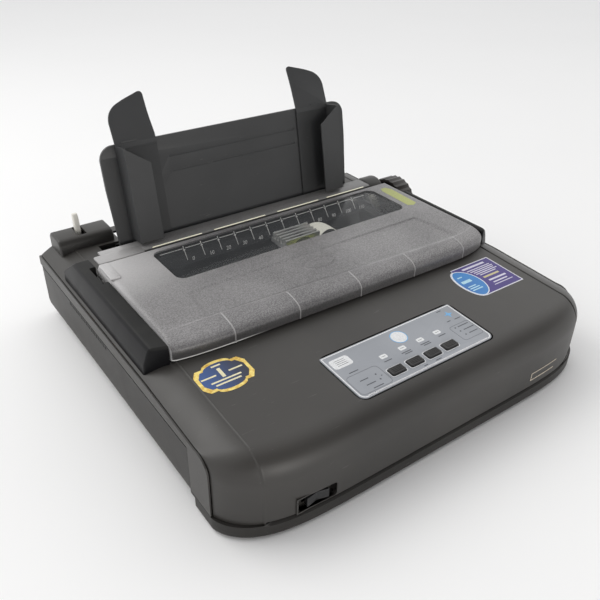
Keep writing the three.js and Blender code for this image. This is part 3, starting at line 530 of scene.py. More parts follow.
well = open_tray("well", (WELL["x"], WELL["y0"], PART_Z + 0.5), (HALF_W - 0.2, WELL["y1"], 78),
                 [(0, 0, 1), (1, 0, 0), (0, 0, -1)])
carve(well, slab("trim", [(190, 84), (HALF_W + 9, 84), (HALF_W + 9, 67), (HALF_W, 67.5)],
                 WELL["y0"] - 9, WELL["y1"] + 9, "xz"))
pocket = open_tray("pocket", (switch_x[0], -BOW + 2.6, switch_z[0]),
                   (switch_x[1], -BOW + 8.4, switch_z[1]), [(0, -1, 0)])
carve(pocket, block("rocker_cut", (SWITCH["x"] - 10.5, -BOW + 6, SWITCH["z"] - 4.7),
                    (SWITCH["x"] + 10.5, -BOW + 20, SWITCH["z"] + 4.7)))

# The housing over the release lever at the left rear, and the hump over the platen gear.
housing = slab("housing", HOUSING_SECTION, -186, -130, "yz")
soften(housing, 2.2, 4)
carve(housing, block("lever_slot", (-164.5, 324, 60), (-155.5, 345, 99)),
      block("housing_hollow", (-183, 319, 60), (-133, 347, 88)))
hump = disc("hump", 19, 22, HUMP, "x", 64)
soften(hump, 3, 4)
carve(hump, block("hump_base", (150, 240, 50), (184, 295, 77)),
      disc("hump_hollow", 16.5, 17, HUMP, "x", 48))
upper_case = merge(shell, side_wall(-1), right_wall, well, pocket, housing, hump)
upper_case.name = "case_top"
settle(upper_case, "chassis", "case_plastic", case_plastic, "upper_case")


# ---- lower case ----------------------------------------------------------------------
# The lower case is a tub in the same plastic with a duller sheen; its darker base colour is
# painted shade, as under the upper case's ledge. Its side walls meet the upper case in a
# straight seam, its bowed chin forms the lip under the front groove, and a row of short cooling
# slots is moulded through the left wall.
VENT_COUNT, VENT_FIRST_Y, VENT_PITCH, VENT_WIDTH = 22, 178.0, 4.1, 1.8
BASE_Z, CHIN_Z, CHIN_BACK_Y, TUB_R, TUCK, MIDDLE_Y = 12.0, 2.0, 24.0, 6.0, 2.2, 150.0
PORTS = ((-105, 30, 33, 55), (-38, 46, 30, 43), (15, 13, 31, 43))


def tub_plan():
    """Points round the tub from the right rear corner, along the bowed front, and back."""
    bow = [HALF_W * math.cos(math.pi * i / 120) for i in range(121)]
    sides = [REAR_Y - TUB_R, 260, 170, 90, 60, PART_Y + 0.35, PART_Y + 0.3, CHIN_BACK_Y + 0.05,
             CHIN_BACK_Y, 16, 8, 3]
    plan = [(HALF_W, y) for y in sides] + [(x, front_y(x)) for x in bow]
    plan += [(-HALF_W, y) for y in reversed(sides)]
    turns = [math.pi / 2 * i / 6 for i in range(7)]
    plan += [(-HALF_W + TUB_R - TUB_R * math.cos(a), REAR_Y - TUB_R + TUB_R * math.sin(a))
             for a in turns[1:]]
    plan += [(HALF_W - TUB_R + TUB_R * math.sin(a), REAR_Y - TUB_R + TUB_R * math.cos(a))
             for a in turns[:-1]]
    return plan


TUB_LEVELS = (0, 0.02, 0.06, 0.12, 0.2, 0.5, 0.8, 0.88, 0.93, 0.97, 1.0)


def tub_point(x, y, level):
    """A point of the wall: the bottom edge is rounded, and the chin's lip turns into the groove."""
    low = CHIN_Z if y <= CHIN_BACK_Y else BASE_Z
    high = PART_FRONT_Z - 0.1 if y <= PART_Y + 0.3 else PART_Z - 0.4
    tuck = TUCK * (1 - math.sqrt(1 - (1 - clamp(level / 0.2)) ** 2))
    front = clamp(-y / 10)
    lip = front * ease(-RIDGE_X - 1, -RIDGE_X + 4, x) * (1 - ease(150, 160, x))
    tuck += GROOVE_DEPTH * lip * ease(0.86, 1.0, level) ** 1.5
    inwards = tuck / math.hypot(x, (y - MIDDLE_Y) * 1.1)
    return (x - inwards * x * 1.2, y - inwards * (y - MIDDLE_Y) * 1.3, low + (high - low) * level)


plan = tub_plan()
mesh = bpy.data.meshes.new("case_bottom")
rings = [[tub_point(x, y, level) for x, y in plan] for level in TUB_LEVELS]
count = len(plan)
faces = [(r * count + i, r * count + (i + 1) % count, (r + 1) * count + (i + 1) % count,
          (r + 1) * count + i) for r in range(len(rings) - 1) for i in range(count)]
faces.append(tuple(range(count)))
mesh.from_pydata([p for ring in rings for p in ring], [], faces)
tub = bpy.data.objects.new("case_bottom", mesh)
bpy.context.scene.collection.objects.link(tub)
face_towards(outward(tub), (0, 0, -1))
modify(tub, "SOLIDIFY", thickness=WALL, offset=-1)
slots = [block("slot", (-HALF_W - 2, VENT_FIRST_Y + i * VENT_PITCH, 53),
               (-HALF_W + 6, VENT_FIRST_Y + i * VENT_PITCH + VENT_WIDTH, 56.5))
         for i in range(VENT_COUNT)]
ports = [block("port", (x - w / 2, REAR_Y - 6, z0), (x + w / 2, REAR_Y + 3, z1))
         for x, w, z0, z1 in PORTS]
carve(tub, merge(*slots), merge(*ports), well_cut())
lower_well = open_tray("lower_well", (WELL["x"], WELL["y0"], WELL["floor"]),
                       (HALF_W - 0.2, WELL["y1"], PART_Z - 0.5), [(0, 0, 1), (1, 0, 0)])
merge(tub, lower_well)
# Darker colours than the upper case's: painted shade for the tub under the ledge.
tub_plastic_painted_shade = grained_plastic("tub_plastic_painted_shade", (0.020, 0.0186, 0.017), (0.031, 0.029, 0.0265), 0.44,
                              Specular_IOR_Level=0.28)
settle(tub, "chassis", "case_plastic", tub_plastic_painted_shade, "lower_case")


# ---- cover blocks --------------------------------------------------------------------
# Two dark mouldings close the deck beside the cover and carry its hinge pins. Their tops are
# flat and grained; their outer faces slope down to the shoulders, are smoother, and are painted
# darker as shade.
BLOCK = {"inner": 176.5, "front": 98.0, "skew": 0.45, "rear_lean": 1.3}
LEFT_SECTION = [(176.5, 77), (176.5, 96.4), (189, 95.4), (191.3, 93), (195.2, 80), (196, 69)]
RIGHT_SECTION = [(176.5, 77), (176.5, 95.6), (181, 95), (186, 91.5), (189.5, 85.5), (193, 77),
                 (195, 69)]
HINGE_GAP = {"depth": 6.0, "y0": 214.0, "y1": 246.0, "z": 85.0}


def satin_paint(s):
    fine = s.noise(2600, 2, 0.6)
    handled = s.noise(30, 5, 0.6, 0.8)
    return {"Base_Color": s.mix(handled, (0.007, 0.007, 0.008), (0.014, 0.014, 0.015)),
            "Roughness": 0.30 + handled * 0.12 + fine * 0.05, "Normal": s.bump(fine, 0.00002, 0.7)}


def block_paint(s):
    """Grained charcoal on top; smoother down the outer slope and the front end, painted near-black there
    as shade.
    """
    slope = (s.axis(0) - CENTRE_X).magnitude().between(0.1888, 0.1900)
    end = s.axis(2).between(0.0945, 0.0925) * s.axis(1).between(DATUM_Y + 0.108, DATUM_Y + 0.104)
    smooth = slope.at_least(end)
    fine = s.noise(1900, 2, 0.6)
    handled = s.noise(26, 6, 0.6, 0.8)
    top = s.mix(handled.between(0.3, 0.7), (0.012, 0.012, 0.012), (0.019, 0.019, 0.018))
    # The near-black on the outer slope and the front end is painted shade.
    return {"Base_Color": s.mix(smooth, top, (0.006, 0.006, 0.007)),
            "Roughness": 0.45 + handled * 0.12 - smooth * 0.12, "Specular_IOR_Level": 0.18,
            "Normal": s.bump(fine * (1 - smooth * 0.8), 0.00003, 0.7)}


satin_black = material("satin_black", satin_paint)
block_plastic = material("block_plastic", block_paint)


def cover_block(side, rear, section):
    """The left block runs further back and its rear end leans forwards."""
    body = slab("cover_block", [(side * x, z) for x, z in section], BLOCK["front"], rear, "xz")
    for point in body.data.vertices:
        if point.co.y < BLOCK["front"] + 0.1:
            point.co.y += (abs(point.co.x) - BLOCK["inner"]) * BLOCK["skew"]
        elif side < 0:
            point.co.y -= max(0.0, point.co.z - 80) * BLOCK["rear_lean"]
    soften(body, 1.5 if side < 0 else 3.0, 4, 14 if side < 0 else 30)
    if side < 0:
        gap_x = BLOCK["inner"] + HINGE_GAP["depth"]
        carve(body, block("gap", (-gap_x, HINGE_GAP["y0"], HINGE_GAP["z"]),
                          (-BLOCK["inner"] + 3, HINGE_GAP["y1"], 99)))
    return body


left_block = cover_block(-1, 284.0, LEFT_SECTION)
left_block.name = "cover_block_left_moulding"
settle(left_block, "chassis", "black_trim", block_plastic, "cover_block_left", flat=22)
right_block = cover_block(1, 218.5, RIGHT_SECTION)
right_block.name = "cover_block_right_moulding"
settle(right_block, "chassis", "black_trim", block_plastic, "cover_block_right", flat=22)


# ---- cover ---------------------------------------------------------------------------
# The cover is moulded in smoke-grey translucent plastic, frosted on top, with a rounded front
# lip that carries five stiffening ribs, a shallow sunken field with an oval, and a cut-out
# for the clear window. It hooks onto the pins of the two blocks.
COVER = {"x": 175.5, "front": 98.2, "crease": 114.5, "rear": 245.0, "top": 97.0, "low": 80.8}
RIB_XS = (-121.0, -58.0, 8.0, 72.0, 137.0)
BULGE = {"lip": 9.0, "lip_tilt": 0.022, "crease": 5.5, "crease_tilt": 0.05, "behind": 11.5}
FIELD = {"left": -127.0, "right": 137.0, "rear": 158.0, "splay": 0.14, "sunk": 1.1}
OVAL = {"x": -1.0, "y": 138.0, "a": 17.5, "b": 8.5}
SIDE_R = 5.0
WINDOW = {"x0": -125.0, "x1": 146.0, "y0": 180.5, "y1": 240.0, "r": 9.0}
LUG = {"x": 173.6, "y": 236.0, "z": 88.0, "thick": 2.6, "pin": 3.3}
SKIRT = {"share": 0.35, "height": 0.45, "rib": 0.7}


def frosted(name, dark, light, rough, alpha, marks):
    """Smoke-grey plastic: a coarse sparkle of frosting over cloudy tone, then marks, which paints light
    and shade into the colour.
    """
    def paint(s):
        cloud = s.noise(11, 3, 0.5)
        frost = s.noise(900, 2, 0.8)
        smears = s.noise(34, 6, 0.6, 1.2)
        tone = s.mix(cloud.between(0.25, 0.75) * 0.4 + frost.between(0.36, 0.64) * 0.6, dark, light)
        return {"Base_Color": marks(s, tone), "Roughness": rough - 0.06 + frost * 0.10 + smears * 0.10,
                "Normal": s.bump(frost, 0.00010, 0.9), "Alpha": alpha, "Coat_Weight": 0.2,
                "Coat_Roughness": 0.3}
    return material(name, paint)


def cover_painted_light_and_shade(s, tone):
    """Painted light and shade on the cover: painted shade darkens the lip towards its foot, and painted
    highlights lie on the lip's ribs, the crease, the lip's foot at the left, the left edge and the rear
    left of the top.
    """
    x, z = s.axis(0) - CENTRE_X, s.axis(2)
    part = x * x / (COVER["x"] / 1000) ** 2
    window = (1 - part ** 4).at_least(0.0) ** 0.8
    y = s.axis(1) - DATUM_Y + (x * BULGE["crease_tilt"] + BULGE["crease"] / 1000) * window
    front = COVER["crease"] / 1000
    lip = y.between(front + 0.0006, front - 0.0004)
    # Painted shade: the lip darkens towards its foot, more towards the left.
    dark = z.between(0.0955, 0.084) * (0.68 - x * 1.2)
    lines = s.mix(lip * dark, tone, (0.035, 0.034, 0.034))
    # Painted highlights along the ribs on the lip.
    for rib in RIB_XS:
        away = (x - rib / 1000).magnitude()
        lines = s.mix(lip * away.between(0.0009, 0.0003) * 0.55, lines, (0.50, 0.49, 0.49))
    # A patchy painted highlight along the crease at the top of the lip.
    crease = (y - front).magnitude().between(0.0011, 0.0003)
    lines = s.mix(crease * s.noise(40, 2).between(0.35, 0.6) * 0.35, lines, (0.48, 0.47, 0.47))
    # A near-white painted highlight along the lip's foot on the left.
    foot = z.between(0.0822, 0.0812) * x.between(-0.085, -0.125)
    lines = s.mix(foot, lines, (0.85, 0.85, 0.84))
    # A painted highlight down the cover's left edge.
    lines = s.mix(x.between(-0.1741, -0.1750) * 0.8, lines, (0.60, 0.60, 0.60))
    # A painted highlight on the rear left of the top.
    corner = x.between(-0.06, -0.165) * y.between(0.13, 0.235)
    return s.mix(corner * 0.7, lines, (0.66, 0.65, 0.65))


def cover_columns():
    """(x, turn down at the side, drop of the skirt), closer together at ribs, oval and sides."""
    flat = COVER["x"] - SIDE_R
    xs = set(round(-flat + 2 * flat * i / 170, 3) for i in range(171))
    xs = {x for x in xs if min(abs(x - rib) for rib in RIB_XS) > 2.4}
    xs |= {rib + d for rib in RIB_XS for d in (-2.0, -1.3, -0.8, -0.4, 0.0, 0.4, 0.8, 1.3, 2.0)}
    xs |= {OVAL["x"] + d for d in spread(-20.5, 21.5, 42)}
    middle = [(x, 0.0, 0.0) for x in sorted(xs)]
    turns = [math.pi / 2 * i / 6 for i in range(1, 7)]
    right = [(flat + SIDE_R * math.sin(a), SIDE_R * (1 - math.cos(a)), 0.0) for a in turns]
    right += [(COVER["x"], SIDE_R, drop) for drop in (1.5, 3.5)]
    left = [(-x, turn, drop) for x, turn, drop in reversed(right)]
    return left + middle + right


def cover_rows():
    lip = [("lip", t) for t in spread(0, 1, 20)]
    near = [114.6, 115.2, 116.0, 117.0, 118.5, 120.5, 123.0]
    oval = spread(126, 150.5, 26)
    field = [151.5, 153, 154.5, 155.6, 156.4, 157.2, 158, 158.8, 159.6, 160.5, 162]
    rest = spread(165, COVER["rear"], 24) + [COVER["rear"]]
    return lip + [("top", y) for y in near + oval + field + rest]


def cover_relief(x, y):
    """Height of the top above its plane: the sunken field and the oval ring."""
    slant = FIELD["splay"] * (FIELD["rear"] - y)
    inside = (ease(FIELD["left"] - slant - 1.5, FIELD["left"] - slant + 1.5, x)
              * (1 - ease(FIELD["right"] + slant - 1.5, FIELD["right"] + slant + 1.5, x))
              * (1 - ease(FIELD["rear"] - 1, FIELD["rear"] + 1, y)) * ease(114.6, 116.5, y))
    away = abs(math.hypot((x - OVAL["x"]) / OVAL["a"], (y - OVAL["y"]) / OVAL["b"]) - 1) * OVAL["b"]
    return 0.7 * (1 - ease(0.3, 1.4, away)) - FIELD["sunk"] * inside


def bulge(x, key):
    """How far the cover's front stands forward of a straight line at this x."""
    window = max(0.0, 1 - abs(x / COVER["x"]) ** 8) ** 0.8
    return (BULGE[key] + BULGE[key + "_tilt"] * x) * window


def cover_point(column, row):
    """A point of the cover: up the lip's short wall, round a quarter curve, back along the top."""
    x, turn, drop = column
    part, t = row
    fall = turn + drop
    if part == "top":
        forward = bulge(x, "crease") * max(0.0, 1 - (t - COVER["crease"]) / BULGE["behind"])
        height = cover_relief(x, t) if not fall else 0
        return (x, t - forward, COVER["top"] - fall + height)
    rib = SKIRT["rib"] * max(0.0, 1 - min(abs(x - r) for r in RIB_XS) / 0.9)
    rise, y = (COVER["top"] - COVER["low"]) * SKIRT["height"], COVER["front"] - bulge(x, "lip")
    if t < SKIRT["share"]:
        return (x, y - rib + fall * 0.35, COVER["low"] + rise * t / SKIRT["share"])
    s = (t - SKIRT["share"]) / (1 - SKIRT["share"])
    start, bend = (y, COVER["low"] + rise), (y + 0.6, COVER["top"] - 1.3)
    end = (COVER["crease"] - bulge(x, "crease"), COVER["top"])
    py = (1 - s) ** 2 * start[0] + 2 * s * (1 - s) * bend[0] + s * s * end[0]
    pz = (1 - s) ** 2 * start[1] + 2 * s * (1 - s) * bend[1] + s * s * end[1]
    a = math.pi / 2 * s
    return (x, py - rib * math.cos(a) + fall * 0.35 * (1 - s), pz + rib * math.sin(a) - fall * s)


cover = formed_grid("cover_moulding", cover_columns(), cover_rows(), cover_point)
face_towards(outward(cover), (0, 0, 1))
modify(cover, "SOLIDIFY", thickness=2.0, offset=-1)
carve(cover, slab("window_cut", rounded(WINDOW["x0"], WINDOW["x1"], WINDOW["y0"], WINDOW["y1"],
                                        WINDOW["r"], 10), 85, 99))
frosted_smoke = frosted("frosted_smoke", (0.085, 0.082, 0.084), (0.32, 0.311, 0.313), 0.36, 0.95,
                        cover_painted_light_and_shade)


def pin_hole(side):
    return disc("pin_hole", LUG["pin"], 9, (side * LUG["x"], LUG["y"], LUG["z"]), "x", 32)


lugs = []
for side in (-1, 1):
    x, y, z, half = side * LUG["x"], LUG["y"], LUG["z"], LUG["thick"] / 2
    lug = disc("hinge_lug", 6.5, LUG["thick"], (x, y, z), "x")
    web = block("hinge_web", (x - half, y - 6, z), (x + half, y + 6, z + 6.6))
    lugs.append(carve(soften(lug, 0.5), pin_hole(side)))
    lugs.append(soften(carve(web, pin_hole(side)), 0.3))
tab = soften(slab("rear_tab", rounded(-175, -165.5, 212, 243.5, 2.5), 96.6, 98.4), 0.5, 2)
merge(cover, tab, *lugs)
settle(cover, "printer_cover", "smoked_plastic", frosted_smoke, "printer_cover", flat=28)


# ---- window and scale ----------------------------------------------------------------
# A clear polished pane closes the cover's cut-out. A clear strip turned down behind it carries
# the printed column scale, which shows where on the sheet the head stands.
def clear_plastic(s):
    smears = s.noise(40, 5, 0.6, 1.5)
    return {"Base_Color": s.mix(smears, (0.10, 0.105, 0.11), (0.14, 0.145, 0.15)),
            "Roughness": 0.05 + smears * 0.09, "Alpha": 0.20 + smears.between(0.5, 0.8) * 0.06,
            "Specular_IOR_Level": 0.5}


def ink(name, colour, rough=0.5, glow=0.0):
    """Printed or painted marks: slightly uneven cover and edge. A glow makes the mark emit light, which
    is painted light.
    """
    def paint(s):
        patchy = s.noise(900, 3, 0.6)
        worn = tuple(c * 0.78 for c in colour)
        more = {"Emission_Color": colour, "Emission_Strength": glow} if glow else {}
        return {"Base_Color": s.mix(patchy.between(0.25, 0.7), worn, colour),
                "Roughness": rough + patchy * 0.12, "Normal": s.bump(patchy, 0.00002, 0.4), **more}
    return material(name, paint)


clear_pane = material("clear_pane", clear_plastic)
# The white print glows a little, which is painted light.
white_ink_painted_glow = ink("white_ink_painted_glow", (0.86, 0.86, 0.83), 0.42, 0.12)
pane = slab("window_pane", rounded(WINDOW["x0"] + 0.3, WINDOW["x1"] - 0.3, WINDOW["y0"] + 0.3,
                                   WINDOW["y1"] - 0.3, WINDOW["r"] - 0.3, 10), 94.9, 96.7)
soften(pane, 0.35, 2)
settle(pane, "printer_cover", "clear_window", clear_pane, "cover_window")

SCALE = {"first": -92.2, "pitch": 18.96, "count": 12, "y": 237.0, "top": 94.4, "length": 17.0,
         "lean": 52.0, "x0": -118.0, "x1": 140.0, "figures": 5.4}


def on_scale(piece):
    """Stands a piece drawn on z = 0, with -y downwards, on the turned-down strip."""
    piece.data.transform(Matrix.Translation((0, SCALE["y"], SCALE["top"]))
                         @ Matrix.Rotation(math.radians(SCALE["lean"]), 4, "X"))
    return piece


def number(text, size, x, y):
    """A raised number of the given height, with its foot at (x, y)."""
    bpy.ops.object.select_all(action="DESELECT")
    bpy.ops.object.text_add(location=(x, y, 0))
    words = bpy.context.object
    words.data.body = text
    words.data.size = size
    words.data.extrude = 0.04
    words.data.shear = 0.25
    words.data.resolution_u = 3
    bpy.ops.object.convert(target="MESH")
    bpy.ops.object.transform_apply(location=True, rotation=True, scale=True)
    return bpy.context.object


def mark(x0, x1, y0, y1, height=0.06):
    """A printed bar on z = 0."""
    return block("mark", (x0, y0, 0), (x1, y1, height))


strip = slab("scale_strip", rounded(SCALE["x0"], SCALE["x1"], -SCALE["length"], 0, 1.5), -1.0, -0.1)
settle(on_scale(soften(strip, 0.3, 1)), "printer_cover", "clear_window", clear_pane)
ticks = []
for i in range(SCALE["count"]):
    x = SCALE["first"] + i * SCALE["pitch"]
    ticks.append(mark(x - 0.35, x + 0.35, -12.5, 1.6))
    ticks.append(mark(x - 1.2, x + 1.2, -2.6, -1.9))
    ticks.append(mark(x + 1.6, x + SCALE["pitch"] - 1.2, -0.9, -0.3))
    ticks.append(number(str(i * 10), SCALE["figures"], x + 4.6, -14.2))
ticks.append(mark(SCALE["x0"] + 1, SCALE["first"] - 1.2, -0.9, -0.3))
scale = merge(*ticks)
scale.name = "window_scale"
settle(on_scale(scale), "printer_cover", "clear_window", white_ink_painted_glow)

# A yellow-green label lies along the window's right end, pressed flat on the cover.
end_label = slab("cover_end_label", [(152.5, 184.5), (158.5, 181.5), (164.5, 184.5), (166.5, 226),
                                     (163.5, 234), (156.5, 234), (154, 228)], 96.95, 97.12)
soften(end_label, 0.05, 1)
settle(end_label, "printer_cover", "smoked_plastic", ink("pale_lime", (0.44, 0.47, 0.16), 0.45))


# ---- tear bar ------------------------------------------------------------------------
# A smoked bar behind the cover, stepped at the front, on which the printed sheet is torn off.
# Its ground front edge catches the light in four lengths between its moulding gates; these highlights
# are painted as thin near-white glowing strips.
def bench_copy(node, name):
    """A copy of a frame node on the drawing's scale, its flat faces made whole again."""
    piece = bpy.data.objects.new(name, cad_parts[node].data.copy())
    bpy.context.scene.collection.objects.link(piece)
    piece.data.transform(TO_FRAME.inverted())
    pick(piece)
    bpy.ops.mesh.customdata_custom_splitnormals_clear()
    pick(piece, "EDIT")
    bpy.ops.mesh.select_all(action="SELECT")
    bpy.ops.mesh.remove_doubles(threshold=0.002)
    bpy.ops.mesh.dissolve_limited(angle_limit=math.radians(1.5))
    bpy.ops.object.mode_set(mode="OBJECT")
    return piece


def bar_painted_highlight(s, tone):
    """The bar's left end is painted lighter: a painted highlight like the one on the cover's rear
    corner.
    """
    return s.mix((s.axis(0) - CENTRE_X).between(-0.120, -0.152) * 0.6, tone, (0.56, 0.55, 0.55))


bar_smoke = frosted("bar_smoke", (0.10, 0.098, 0.097), (0.19, 0.186, 0.182), 0.36, 1.0, bar_painted_highlight)
BAR_SECTION = [(250, 94.4), (270, 94.4), (270, 97), (252, 97), (250, 96)]
tear_bar = slab("tear_bar_moulding", BAR_SECTION, -165, 154, "yz")
left_end = slab("left_end", rounded(-172.5, -127, 246.5, 262, 2), 95.0, 97.1)
legs = [block("leg", (side * 150 - 2.5, 254, 78.4), (side * 150 + 2.5, 261, 95)) for side in (-1, 1)]
tear_bar = merge(soften(tear_bar, 0.35, 2), soften(left_end, 0.5, 3),
                 *[soften(leg, 0.4) for leg in legs])
settle(tear_bar, "chassis", "smoked_plastic", bar_smoke, "tear_bar")
EDGE_LENGTHS = ((-118.0, -64.5), (-50.5, 10.5), (25.8, 79.8), (91.6, 144.6))
# Painted highlights: near-white strips that glow, laid along the bar's front edge.
painted_edge_highlight = merge(*[soften(block("edge", (a, 249.5, 96.3), (b, 250.9, 97.0)), 0.2, 1)
                      for a, b in EDGE_LENGTHS])
painted_edge_highlight.name = "painted_tear_highlight"
settle(painted_edge_highlight, "chassis", "smoked_plastic", ink("painted_edge_highlight", (0.90, 0.88, 0.70), 0.3, 0.25))


# ---- sheet guide ---------------------------------------------------------------------
# The upright guide is a grained dark-grey moulding, hinged on two pins under the deck. Two
# channel-shaped edge guides with flared wings hook over its top edge and slide along it.
guide_plastic = grained_plastic("guide_plastic", (0.030, 0.031, 0.032), (0.043, 0.044, 0.045), 0.46,
                                1700, 0.00003)
guide = soften(bench_copy("paper_guide", "sheet_guide"), 0.45, 2)
settle(guide, "paper_guide", "guide_plastic", guide_plastic, "paper_guide", flat=20)
WING = {"height": 39.0, "corner": 5.0, "sheet": 3.0}


def shape_wing(slider, outer_x, flare):
    """Widens the wing from its outer face towards its top, and rounds the corners there."""
    top = max(point.co.z for point in slider.data.vertices)
    root = top - WING["height"]
    for point in slider.data.vertices:
        t = clamp((point.co.z - root) / WING["height"])
        point.co.x = outer_x + (point.co.x - outer_x) * (1 + flare * t)
    for edge in slider.data.edges:
        a, b = (slider.data.vertices[i].co for i in edge.vertices)
        edge.use_edge_sharp = (a - b).length < WING["sheet"] and min(a.z, b.z) > root + 12
    work = bmesh.new()
    work.from_mesh(slider.data)
    corners = [edge for edge in work.edges if not edge.smooth]
    bmesh.ops.bevel(work, geom=corners, offset=WING["corner"], segments=4, profile=0.5,
                    affect="EDGES", clamp_overlap=True)
    work.to_mesh(slider.data)
    work.free()
    return slider


for side, outer_x, flare in (("left", -126.0, 0.26), ("right", 119.5, 0.37)):
    slider = bench_copy("edge_guide_" + side, "edge_guide_%s_moulding" % side)
    soften(shape_wing(slider, outer_x, flare), 0.45, 2, 25)
    settle(slider, "edge_guide_" + side, "guide_plastic", guide_plastic, "edge_guide_" + side,
           flat=20)


# ---- control panel -------------------------------------------------------------------
# A silver printed plate lies in a shallow recess of the deck. Four ribbed black caps come
# up through it. The print is a white frame, pads, thin outlines and neutral bars.
def silver_sheet(s):
    flake = s.noise(2200, 2, 0.7)
    slow = s.noise(16, 3)
    return {"Base_Color": s.mix(slow.between(0.3, 0.7) * 0.6 + flake * 0.4, (0.27, 0.285, 0.31),
                                (0.34, 0.355, 0.385)),
            "Roughness": 0.34 + flake * 0.1 + slow * 0.05, "Metallic": 0.25,
            "Normal": s.bump(flake, 0.00001, 0.5)}


def plate_outline(inset, front_radius, rear_radius):
    """The plate's outline: large corners at the front, nearly square ones at the rear."""
    x0, x1 = PANEL["x0"] + inset, PANEL["x1"] - inset
    y0, y1 = PANEL["y0"] + inset, PANEL["y1"] - inset
    front = [(x, y) for x, y in rounded(x0, x1, y0, y1, front_radius, 8) if y < (y0 + y1) / 2]
    rear = [(x, y) for x, y in rounded(x0, x1, y0, y1, rear_radius, 4) if y > (y0 + y1) / 2]
    return rear + front


BUTTON = {"xs": (-32.0, -12.5, 7.0, 26.5), "y": -3.5, "w": 14.0, "d": 8.0, "proud": 1.6}


def round_key(x, gap, radius):
    """An outline that runs round the key at x with an even gap."""
    half_w, half_d = BUTTON["w"] / 2 + gap, BUTTON["d"] / 2 + gap
    return rounded(x - half_w, x + half_w, BUTTON["y"] - half_d, BUTTON["y"] + half_d, radius)


plate = slab("panel_plate", plate_outline(0, 6, 1.2), -1.5, 0)
carve(plate, *[slab("hole", round_key(x, 0.4, 1.6), -5, 5) for x in BUTTON["xs"]])
settle(deck_tilt(soften(plate, 0.25, 2), PANEL_MID), "chassis", "panel_plate",
       material("silver_sheet", silver_sheet), "control_panel_plate")


def print_on_panel(name, look, *shapes):
    """Joins printed shapes into one piece and lays it on the plate."""
    print_piece = merge(*shapes)
    print_piece.name = name
    settle(deck_tilt(print_piece, PANEL_MID), "chassis", "panel_plate", look)


def ring(name, outer, inner, height=0.06):
    """A flat frame between two outlines."""
    return carve(slab(name, outer, 0.0, height), slab("hole", inner, -1, 1))


def pad(x, y, w, d, radius=1.2):
    return slab("pad", rounded(x - w / 2, x + w / 2, y - d / 2, y + d / 2, radius), 0, 0.05)


frame_line = ring("frame_line", plate_outline(0.9, 5.4, 0.9), plate_outline(1.9, 4.6, 0.6))
front_line = mark(PANEL["x0"] + 7, PANEL["x1"] - 7, PANEL["y0"] + 1.2, PANEL["y0"] + 2.5)
carve(front_line, block("notch", (-63, PANEL["y0"], -1), (-62, PANEL["y0"] + 5, 1)))
PAD_XS, PAD_Y = (-30.0, -9.7, 10.4, 29.9), 15.0
pads = [pad(x, PAD_Y, 7.0, 4.6) for x in PAD_XS] + [pad(-63.6, 27.5, 18.5, 11.4, 2.6)]
halos = [ring("halo", round_key(x, 1.3, 2.2), round_key(x, 0.7, 1.8)) for x in BUTTON["xs"]]
seal = soften(disc("seal", 7.2, 0.08, (-2.2, 27.4, 0.04)), 0.02, 1)
print_on_panel("panel_print_white", ink("panel_white", (0.80, 0.81, 0.82), 0.35), frame_line,
               front_line, seal, *pads, *halos)

# Each bar stands for a line of print: its middle and its width.
BARS = [(-30, 9.2, 8), (-10, 9.6, 10), (-9, 7.6, 8), (11, 9.6, 10), (12, 7.6, 8), (31, 9.8, 8),
        (-62, 13.5, 9), (-61, 1.9, 8), (-59, -4.3, 9), (-56, -9.6, 10), (57, 10.6, 12),
        (58.5, 5.2, 12), (58.5, -0.4, 10), (50, 20.5, 4), (52.5, 35.6, 5), (60, 20.0, 7),
        (-8, -11.5, 4), (6, -11.5, 6), (-46.2, -1.5, 1)]
bars = [mark(x - w / 2, x + w / 2, y - 0.45, y + 0.45) for x, y, w in BARS]
lights = [disc("light", 0.75, 0.1, (x, y, 0.05), sides=16)
          for x, y in ((-49.4, 1.9), (-49.6, -4.3), (47.8, 10.6), (48.6, 5.2), (49.4, -0.4))]
pad_lines = [mark(x - 2, x + 2, PAD_Y - 0.2, PAD_Y + 0.2, 0.08) for x in PAD_XS]
pad_lines += [mark(-68.5, -58.5, y - 0.2, y + 0.2, 0.08) for y in (24.6, 26.6, 28.6, 30.6)]
print_on_panel("panel_print_grey", ink("panel_grey", (0.085, 0.09, 0.105), 0.45), *bars, *lights,
               *pad_lines)


def outline_box(x0, x1, y0, y1, radius, line=0.4):
    return ring("outline", rounded(x0, x1, y0, y1, radius),
                rounded(x0 + line, x1 - line, y0 + line, y1 - line, radius - line))


boxes = [outline_box(-73.6, -42, -12, 10.6, 4), outline_box(42.4, 65.5, -6.5, 13.8, 3)]
print_on_panel("panel_print_outline", ink("panel_outline", (0.15, 0.155, 0.17), 0.45), *boxes)
GLINT = {"x": 57.1, "y": 28.2, "long": 4.6, "short": 1.6}
reaches = [(math.pi / 4 * k, GLINT["short"] if k % 2 else GLINT["long"]) for k in range(8)]
glint = slab("glint", [(GLINT["x"] + r * math.cos(a), GLINT["y"] + r * math.sin(a))
                       for a, r in reaches], 0, 0.08)
seal_ring = ring("seal_ring", rounded(-10, 5.6, 19.6, 35.2, 7.79, 12),
                 rounded(-9.3, 4.9, 20.3, 34.5, 7.09, 12), 0.1)
# The blue print glows faintly: painted light.
print_on_panel("panel_print_blue", ink("panel_blue", (0.16, 0.42, 0.72), 0.35, 0.05), glint,
               seal_ring)


